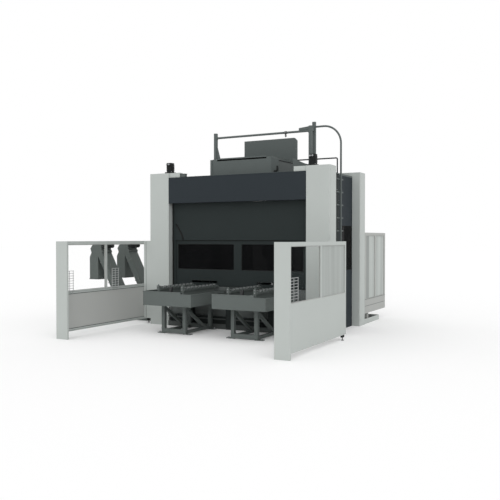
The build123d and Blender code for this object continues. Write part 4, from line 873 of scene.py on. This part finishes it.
class CELL_OT_rollers(bpy.types.Operator):
    """Tyres, forks and axle nuts of the rollers, the end stops' bumpers and the shuttle racks."""
    bl_idname = "cell.rollers"
    bl_label = "Roller tracks"

    def execute(self, context):
        use = context.scene.cell_sizes
        tyres, nuts, pads, racks, forks = shapes(5)
        pitch, axle, stop_face = 0.150, 0.996, -1.315
        first = (stop_face + 0.090 - 8 * pitch) / 2
        rollers = [first + step * pitch for step in range(9)]
        for centre, shift in product(TRAY_CENTRES, (-0.310, 0.310)):
            x = centre + shift
            for y in rollers:
                for near, far in ((-0.031, -0.005), (0.005, 0.031)):
                    tyres.bar((x + near, y, axle), (x + far, y, axle), 0.0348, 28)
                for side in (-1, 1):
                    forks.slab((x + side * 0.045, y - 0.022, 0.952),
                               (x + side * 0.051, y + 0.022, 1.012), 0.002)
            for side in (-1, 1):
                nuts.bolts((x + side * 0.051,), rollers, (axle,), X * side, 0.010)
                nuts.bolts((x + side * 0.020,), (-1.235, -0.7075, -0.180), (0.800,),
                           X * side, use.screw)
            stop = x - 0.015
            nuts.bolts((stop,), (stop_face,), (0.968, 1.022), -Y, use.screw)
            pads.lathe([(0, 0), (0.014, 0), (0.016, 0.006), (0.012, 0.014), (0, 0.016)],
                       (stop, stop_face + 0.045, 1.024), Y, 16)
        for centre, step in product(TRAY_CENTRES, range(60)):
            y = -1.360 + step * 0.020
            racks.slab((centre + 0.055, y, 0.796), (centre + 0.063, y + 0.010, 0.822), 0.0015)
        tyres.done("roller_tyres", "worn roller steel", "slide_steel")
        forks.done("roller_forks", "stand paint", "stand_grey")
        nuts.done("roller_nuts", "screw steel", "slide_steel")
        pads.done("stop_bumpers", "gasket rubber", "belt_rubber")
        racks.done("shuttle_racks", "worn roller steel", "slide_steel")
        return {"FINISHED"}


class CELL_OT_shuttles(bpy.types.Operator):
    """Screws and wear pads of the pallet shuttles."""
    bl_idname = "cell.shuttles"
    bl_label = "Shuttle details"

    def execute(self, context):
        use = context.scene.cell_sizes
        for body, node in (("shuttle_l", "shuttle_left"), ("shuttle_r", "shuttle_right")):
            low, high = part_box(node)
            heads, pad = shapes(2)
            middle = (low[0] + high[0]) / 2
            rows = spaced(low[1] + 0.10, high[1] - 0.02, 3)
            heads.screws((low[0] + 0.012, high[0] - 0.012), rows, (0.8963,), Z, use.screw * 0.8)
            for side, face in ((-1, low[0]), (1, high[0])):
                heads.screws((face,), rows, (0.862,), X * side, use.screw * 0.8)
            pad.slab((middle - 0.025, low[1] + 0.0734, 0.955),
                     (middle + 0.025, low[1] + 0.0794, 1.005), 0.002, 2)
            heads.done(body + "_screws", "screw steel", "slide_steel", body)
            pad.done(body + "_pad", "gasket rubber", "belt_rubber", body)
        return {"FINISHED"}


class CELL_OT_conveyors(bpy.types.Operator):
    """Joint flanges, belt plates, lids, chute hems and motor fins of the chip conveyors."""
    bl_idname = "cell.conveyors"
    bl_label = "Conveyor details"

    def execute(self, context):
        use = context.scene.cell_sizes
        ribs, heads, plates, fins = shapes(4)
        slope = math.radians(62)
        along = Vector((math.cos(slope), 0, -math.sin(slope)))
        out = Vector((math.sin(slope), 0, math.cos(slope)))
        drum_x, drum_z, lid, rib, link, pin = -4.128, 1.865, 0.300, 0.026, 0.079, 0.077
        for node, chute in (("conveyor_housing_front", 0.990), ("conveyor_housing_rear", 0.975)):
            low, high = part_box(node)
            near, far = low[1], high[1]
            middle = (near + far) / 2
            ribs.collar((-4.440, middle, chute), X * 0.152, Y * 0.202, 0.012, (0, 0, 0.016))
            for distance in (0.14, 0.72, 1.30):
                centre = Vector((-4.300, middle, 1.600)) + along * (distance + 0.041) + out * 0.069
                ribs.collar(centre, out * 0.084, Y * 0.196, 0.006, along * 0.024)
                for side, shift in product((-1, 1), (-0.05, 0.05)):
                    heads.bolt(centre + along * 0.012 + out * shift + Y * side * 0.196,
                               Y * side, use.screw)
            for x in (-3.05, -2.60, -2.20):
                ribs.slab((x, near - 0.006, 0.004), (x + rib, near, lid), use.edge)
                ribs.slab((x, far, 0.004), (x + rib, far + 0.006, lid), use.edge)
                ribs.slab((x, near - 0.006, lid), (x + rib, far + 0.006, lid + 0.006), use.edge)
                heads.bolts((x + rib / 2,), (near + 0.05, far - 0.05), (lid + 0.006,), Z, use.screw)
            for step in range(44):
                x = -1.93 + step * link
                plates.slab((x, near + 0.018, 0.060), (x + 0.075, far - 0.018, 0.066), 0.001)
                plates.wire((x + pin, near + 0.012, 0.064), (x + pin, far - 0.012, 0.064), 0.006)
                if step % 6 == 2:
                    plates.slab((x + 0.030, near + 0.030, 0.066), (x + 0.036, far - 0.030, 0.104),
                                0.001)
            for y in spaced(near + 0.05, far - 0.09, 9):
                fins.bar((drum_x, y, drum_z), (drum_x, y + 0.007, drum_z), 0.0625, 32)
            fins.lathe([(0, 0), (0.046, 0), (0.056, 0.010), (0.056, 0.012), (0, 0.012)],
                       (drum_x, near, drum_z), -Y, 24)
            fins.slab((drum_x - 0.02, far - 0.16, drum_z + 0.045),
                      (drum_x + 0.05, far - 0.07, drum_z + 0.085), 0.005, 2)
        ribs.done("conveyor_flanges", "conveyor paint", "conveyor_dark")
        heads.done("conveyor_bolts", "screw steel", "slide_steel")
        plates.done("conveyor_belt_plates", "worn roller steel", "slide_steel")
        fins.done("conveyor_motor_fins", "black housing", "drive_black")
        return {"FINISHED"}


class CELL_OT_ladder(bpy.types.Operator):
    """Rung sleeves, end plugs and clamps of the ladder, and the handrail's flanges."""
    bl_idname = "cell.ladder"
    bl_label = "Ladder and handrail"

    def execute(self, context):
        use = context.scene.cell_sizes
        sleeves, flanges, heads = shapes(3)
        line, stile, duct = 0.702, 2.290, 2.190
        rung, half, rib = stile - 0.030, 0.0115, 0.0105
        for step, side in product(range(11), (-1, 1)):
            z = 3.350 - step * 0.281
            near, far = line + side * 0.060, line + side * 0.203
            sleeves.slab((rung - half, near, z - 0.0135), (rung + half, far, z + 0.0135), 0.0015)
            for y in spaced(near, far - side * 0.01, 8):
                sleeves.slab((rung - rib, y - 0.002, z + 0.015), (rung + rib, y + 0.002, z + 0.017))
        sleeves.done("rung_sleeves", "worn roller steel", "slide_steel")
        plate = duct + 0.006
        for z in (0.690, 1.8975, 3.105):
            flanges.slab((duct, line - 0.035, z - 0.035), (plate, line + 0.035, z + 0.035), 0.001)
            flanges.bar((stile, line, z - 0.020), (stile, line, z + 0.020), 0.0245, 24)
            heads.bolts((plate,), (line - 0.024, line + 0.024), (z - 0.024, z + 0.024),
                        X, use.screw * 0.7)
        flanges.lathe([(0, 0), (0.0225, 0), (0.0225, 0.012), (0.018, 0.016), (0, 0.016)],
                      (stile, line, 0.3005), -Z, 24)
        for x, y, z in ((2.238, 0.620, 3.450), (1.257, 0.620, 3.520)):
            flanges.lathe([(0, 0), (0.042, 0), (0.042, 0.006), (0.024, 0.010), (0.017, 0.016),
                           (0, 0.016)], (x, y, z), Z, 24)
            for turn in (0.5, 2.6, 4.7):
                heads.screw((x + 0.032 * math.cos(turn), y + 0.032 * math.sin(turn), z + 0.006),
                            Z, 0.005)
        flanges.done("ladder_clamps", "roof paint", "roof_grey")
        heads.done("ladder_bolts", "screw steel", "slide_steel")
        return {"FINISHED"}


class CELL_OT_roof(bpy.types.Operator):
    """Mast feet, rail collars, the trough's seams and plates, rivets and lifting eyes; the plates,
    the slope cover and a black rim on the trough's right end carry painted shade.
    """
    bl_idname = "cell.roof"
    bl_label = "Roof details"

    def execute(self, context):
        use = context.scene.cell_sizes
        feet, heads, seams, eyes, shaded_end_plate, slope, shadow_line_rim, plate = shapes(8)
        low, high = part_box("roof_trough")
        left, right, front, back, roof = low[0], high[0], low[1], high[1], low[2]
        small, bolt = use.screw * 0.6, 0.046
        for x, y, z in ((-0.760, 0.500, high[2]), (1.660, 0.500, roof), (1.660, 0.702, roof)):
            feet.collar((x, y, z), X * 0.060, Y * 0.060, 0.0255, (0, 0, 0.010))
            heads.bolts((x - bolt, x + bolt), (y - bolt, y + bolt), (z + 0.010,), Z, use.screw)
        for x, side in ((-0.726, 1), (1.626, -1)):
            feet.lathe([(0.0245, 0), (0.040, 0), (0.040, 0.014), (0.031, 0.022), (0.0245, 0.022)],
                       (x, 0.500, 4.420), X * side, 28)

        for x in (-0.250, 0.330):
            seams.slab((x, front - 0.002, roof + 0.03), (x + 0.030, front, 3.850), use.edge / 2)
        seams.slab((left, front - 0.003, roof), (right, front, roof + 0.030), use.edge / 2)
        seams.slab((left - 0.010, front - 0.014, roof + 0.001),
                   (left + 0.045, front, high[2] + 0.002), use.edge)
        heads.screws(spaced(left + 0.06, right - 0.06, 15), (front - 0.003,), (roof + 0.015,),
                     -Y, small)
        heads.screws((left,), (front + 0.04, back - 0.04), spaced(3.56, 3.86, 4), -X, small)

        # Plates on the trough's right end, whose upper edge slopes down to the right, painted
        # darker than the roof grey as painted shade
        slope_low = 3.806
        for vert in shaded_end_plate.slab((0.745, front - 0.002, roof + 0.032), (right - 0.002, front, 3.894),
                               use.edge / 3):
            if vert.co.x > 0.80 and vert.co.z > 3.80:
                vert.co.z = slope_low
        shaded_end_plate.slab((right, front + 0.002, roof + 0.002), (right + 0.002, back - 0.002, slope_low),
                   use.edge / 3)
        for vert in slope.slab((0.772, front - 0.001, 3.8), (right + 0.002, back - 0.001, 3.9)):
            vert.co.z = ((3.9 if vert.co.x < 0.8 else slope_low + 0.005)
                         + (0.003 if vert.co.z > 3.85 else -0.001))
        # Black rim along the end's top edge: a painted shadow line
        shadow_line_rim.slab((right + 0.002, front + 0.004, slope_low - 0.010),
                  (right + 0.009, back - 0.004, slope_low + 0.006), 0.002)
        for vert in plate.slab((1.240, 0.488, roof), (1.582, 0.500, 3.687)):
            if vert.co.x < 1.3 and vert.co.z > 3.6:
                vert.co.z = 3.840
        slope.done("trough_slope_cover", "slope paint", "roof_grey")
        shaded_end_plate.done("trough_hatch", "hatch paint", "roof_grey")
        shadow_line_rim.done("trough_rim", "gasket rubber", "belt_rubber")
        plate.done("cable_cover_plate", "roof paint", "roof_grey")

        low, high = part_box("rear_hood")
        for face, axis in ((low[1], -Y), (high[1], Y)):
            heads.screws(spaced(low[0] + 0.03, high[0] - 0.03, 9), (face,), (low[2] + 0.025,),
                         axis, small)
            heads.screws((low[0] + 0.025, high[0] - 0.025), (face,), spaced(3.66, 4.33, 5),
                         axis, small)
        for x, y in product((-1.55, 1.45), (0.85, 1.95)):
            eyes.bar((x, y, roof), (x, y, roof + 0.012), 0.030, 24)
            eyes.ring((x, y, roof + 0.047), Y, 0.026, 0.008)
        feet.done("mast_feet", "roof paint", "roof_grey")
        heads.done("roof_screws", "screw steel", "slide_steel")
        seams.done("trough_seams", "roof paint", "roof_grey")
        eyes.done("lifting_eyes", "screw steel", "slide_steel")
        return {"FINISHED"}


class CELL_OT_rear(bpy.types.Operator):
    """Gratings in the floor trays, brackets of the rear guards and the duct's louvres."""
    bl_idname = "cell.rear"
    bl_label = "Rear details"

    def execute(self, context):
        use = context.scene.cell_sizes
        grate, brackets, heads, louvres, lines = shapes(5)
        duct, joints = 2.190, (0.45, 2.165)
        low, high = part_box("rear_guards")
        tray_low, tray_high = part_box("floor_trays")
        for side in (-1, 1):
            left, right = sorted((side * 1.854, side * 2.200))
            for x in spaced(left + 0.02, right - 0.02, 8):
                grate.slab((x - 0.003, tray_low[1] + 0.006, 0.060),
                           (x + 0.003, tray_high[1] - 0.006, 0.085))
            for y in spaced(2.34, 3.36, 12):
                grate.wire((left, y, 0.075), (right, y, 0.075), 0.004)
            skin, frame_face, foot = side * high[0], side * (high[0] - 0.040), side * 2.236
            bracket = frame_face - side * 0.005
            for z in joints:
                brackets.slab((frame_face, low[1] + 0.0003, z - 0.03), (bracket, 2.380, z + 0.03),
                              use.edge / 2)
            heads.bolts((bracket,), (2.325, 2.360), joints, -X * side, use.screw)
            brackets.slab((foot - 0.05, 2.600, 0.0043), (foot + 0.05, 2.700, 0.012), 0.001)
            for z in (0.430, 0.590):
                lines.slab((skin, low[1] + 0.002, z),
                           (skin + side * 0.0012, high[1] - 0.002, z + 0.010))
            # Dark strip on the guard's back edge: a painted shadow line
            lines.slab((skin, high[1], 0.262), (frame_face, high[1] + 0.0015, high[2] - 0.002))
        for z in spaced(0.45, 2.95, 21):
            louvres.slab((duct, 0.43, z), (duct + 0.0055, 0.60, z + 0.018), 0.003, 2)
        heads.screws((duct,), (0.395, 0.845), spaced(0.10, 3.36, 8), X, use.screw * 0.7)
        grate.done("tray_gratings", "worn roller steel", "slide_steel")
        brackets.done("guard_brackets", "guard paint", "body_grey")
        lines.done("guard_seams", "stand paint", "stand_grey")
        heads.done("guard_bolts", "screw steel", "slide_steel")
        louvres.done("duct_louvres", "door paint", "cabin_dark")
        return {"FINISHED"}


class CELL_OT_machine(bpy.types.Operator):
    """Wipers, spindle ring and keys, pallet bushes, drive and tool clips of the machine inside."""
    bl_idname = "cell.machine"
    bl_label = "Machine details"

    def execute(self, context):
        wipers, ring, keys, pads, drive, clips = shapes(6)
        low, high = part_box("table_slide")
        for x, y in product((low[0] - 0.008, high[0]), (1.085, 1.295)):
            wipers.collar((x, y, 0.523), Y * 0.045, Z * 0.026, 0.018, (0.008, 0, 0))
        wipers.done("table_wipers", "gasket rubber", "belt_rubber", "table")

        low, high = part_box("headstock")
        nose, height, tip = low[1], (low[2] + high[2]) / 2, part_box("spindle")[0][1]
        ring.lathe([(0.0905, 0), (0.150, 0), (0.150, 0.010), (0.142, 0.014), (0.100, 0.014),
                    (0.0905, 0.010)], (0, nose, height), -Y, 40)
        for step in range(8):
            turn = step * math.pi / 4
            ring.screw((0.125 * math.cos(turn), nose - 0.014, height + 0.125 * math.sin(turn)),
                       -Y, 0.009)
        ring.done("spindle_ring", "drawn steel back", "slide_steel", "head")
        for side in (-1, 1):
            keys.slab((side * 0.048, tip - 0.008, height - 0.012),
                      (side * 0.078, tip + 0.0002, height + 0.012), 0.001)
        keys.done("spindle_keys", "screw steel", "slide_steel", "spindle_rotor")

        low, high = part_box("machine_pallet")
        middle = (low[1] + high[1]) / 2
        for x, y in product(spaced(-0.45, 0.45, 6), spaced(middle - 0.30, middle + 0.30, 4)):
            pads.lathe([(0.008, 0), (0.014, 0), (0.014, 0.0015), (0.008, 0.0015), (0.008, 0)],
                       (x, y, high[2]), Z, 12)
        pads.done("pallet_bushes", "screw steel", "slide_steel", "rotary")

        top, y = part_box("machine_column")[1][2], 3.02
        drive.slab((-0.16, y - 0.16, top), (0.16, y + 0.18, top + 0.018), 0.003)
        drive.slab((-0.09, y - 0.09, top + 0.018), (0.09, y + 0.09, top + 0.120), 0.012, 2)
        drive.bar((0, y, top + 0.120), (0, y, top + 0.140), 0.075, 28)
        drive.done("column_drive", "black housing", "drive_black", "column")

        hub, reach = Vector((-1.180, 1.9597, 1.950)), 0.430 - 0.0576
        for step, side in product(range(10), (-1, 1)):
            turn = step * 2 * math.pi / 10
            out = Vector((math.cos(turn), 0, math.sin(turn)))
            across = Vector((-math.sin(turn), 0, math.cos(turn)))
            start = hub + out * (reach - 0.02) + across * side * 0.040
            clips.wire(start, start + out * 0.060, 0.005)
        clips.done("tool_clips", "screw steel", "slide_steel", "magazine")
        return {"FINISHED"}


class CELL_OT_stage(bpy.types.Operator):
    """Pale floor, even sky, one soft lamp and the camera."""
    bl_idname = "cell.stage"
    bl_label = "Stage"

    def execute(self, context):
        use = context.scene.cell_stage
        flat = bmesh.new()
        bmesh.ops.create_grid(flat, x_segments=1, y_segments=1, size=90.0)
        data = bpy.data.meshes.new("floor")
        flat.to_mesh(data)
        flat.free()
        floor = linked("floor", data)
        floor.location.z = -0.0005
        paint = bpy.data.materials.new("floor paint")
        tree = NodeTree(paint)
        seen = Number(tree, tree.node("ShaderNodeLightPath").outputs["Is Camera Ray"])
        diffuse = tree.node("ShaderNodeBsdfDiffuse", None, {"Color": (use.floor,) * 3 + (1,)})
        lift = tree.node("ShaderNodeEmission", None, {"Strength": seen * use.glow})
        both = tree.node("ShaderNodeAddShader", None, {0: diffuse.outputs[0], 1: lift.outputs[0]})
        tree.node("ShaderNodeOutputMaterial", None, {0: both.outputs[0]})
        data.materials.append(paint)

        # The sky lights the cell at one strength and is seen at full white
        world = bpy.data.worlds.new("even sky")
        context.scene.world = world
        tree = NodeTree(world)
        rays = tree.node("ShaderNodeLightPath").outputs
        seen = Number(tree, rays["Is Camera Ray"])
        for ray in ("Is Glossy Ray", "Is Transmission Ray"):
            seen = seen.math("MAXIMUM", seen, rays[ray])
        light, white = (
            tree.node("ShaderNodeBackground", None, {"Color": (1, 1, 1, 1), "Strength": strength})
            for strength in (use.sky, 1.0))
        mix = tree.node("ShaderNodeMixShader", None,
                        {0: seen, 1: light.outputs[0], 2: white.outputs[0]})
        tree.node("ShaderNodeOutputWorld", None, {0: mix.outputs[0]})

        lamp_data = bpy.data.lights.new("soft key", "SUN")
        lamp_data.angle = math.radians(60)
        lamp_data.energy = use.key
        lamp = linked("soft key", lamp_data)
        lamp.location = (6.2, -9.5, 10.0)
        lamp.rotation_euler = (-lamp.location).to_track_quat("-Z", "Y").to_euler()

        camera_data = bpy.data.cameras.new("photo view")
        camera_data.sensor_width = 36.0
        camera_data.lens = use.lens
        camera_data.clip_end = 400.0
        camera = linked("photo view", camera_data)
        camera.location = use.eye
        camera.rotation_euler = use.turn
        context.scene.camera = camera
        context.scene.view_settings.view_transform = "Standard"
        return {"FINISHED"}


GROUPS = {"cell_sizes": CellSizes, "cell_colours": CellColours, "cell_stage": CellStage}
OPERATORS = (
    CELL_OT_paint, CELL_OT_columns, CELL_OT_header, CELL_OT_door, CELL_OT_motors,
    CELL_OT_panes, CELL_OT_fences, CELL_OT_racks, CELL_OT_stands, CELL_OT_rollers,
    CELL_OT_shuttles, CELL_OT_conveyors, CELL_OT_ladder, CELL_OT_roof, CELL_OT_rear,
    CELL_OT_machine, CELL_OT_stage,
)


class CELL_PT_panel(bpy.types.Panel):
    """The cell's settings and its operators, in their order."""
    bl_idname = "CELL_PT_panel"
    bl_label = "Machining cell"
    bl_space_type = "VIEW_3D"
    bl_region_type = "UI"
    bl_category = "Machining cell"

    def draw(self, context):
        for name in GROUPS:
            group, box = getattr(context.scene, name), self.layout.box()
            for key in group.__annotations__:
                box.prop(group, key)
        for operator in OPERATORS:
            self.layout.operator(operator.bl_idname)


def register():
    for name, group in GROUPS.items():
        bpy.utils.register_class(group)
        setattr(bpy.types.Scene, name, bpy.props.PointerProperty(type=group))
    for item in OPERATORS + (CELL_PT_panel,):
        bpy.utils.register_class(item)


def unregister():
    for item in reversed(OPERATORS + (CELL_PT_panel,)):
        bpy.utils.unregister_class(item)
    for name, group in GROUPS.items():
        delattr(bpy.types.Scene, name)
        bpy.utils.unregister_class(group)


def main():
    register()
    for operator in OPERATORS:
        getattr(bpy.ops.cell, operator.bl_idname.split(".")[1])()


if __name__ == "__main__":
    main()
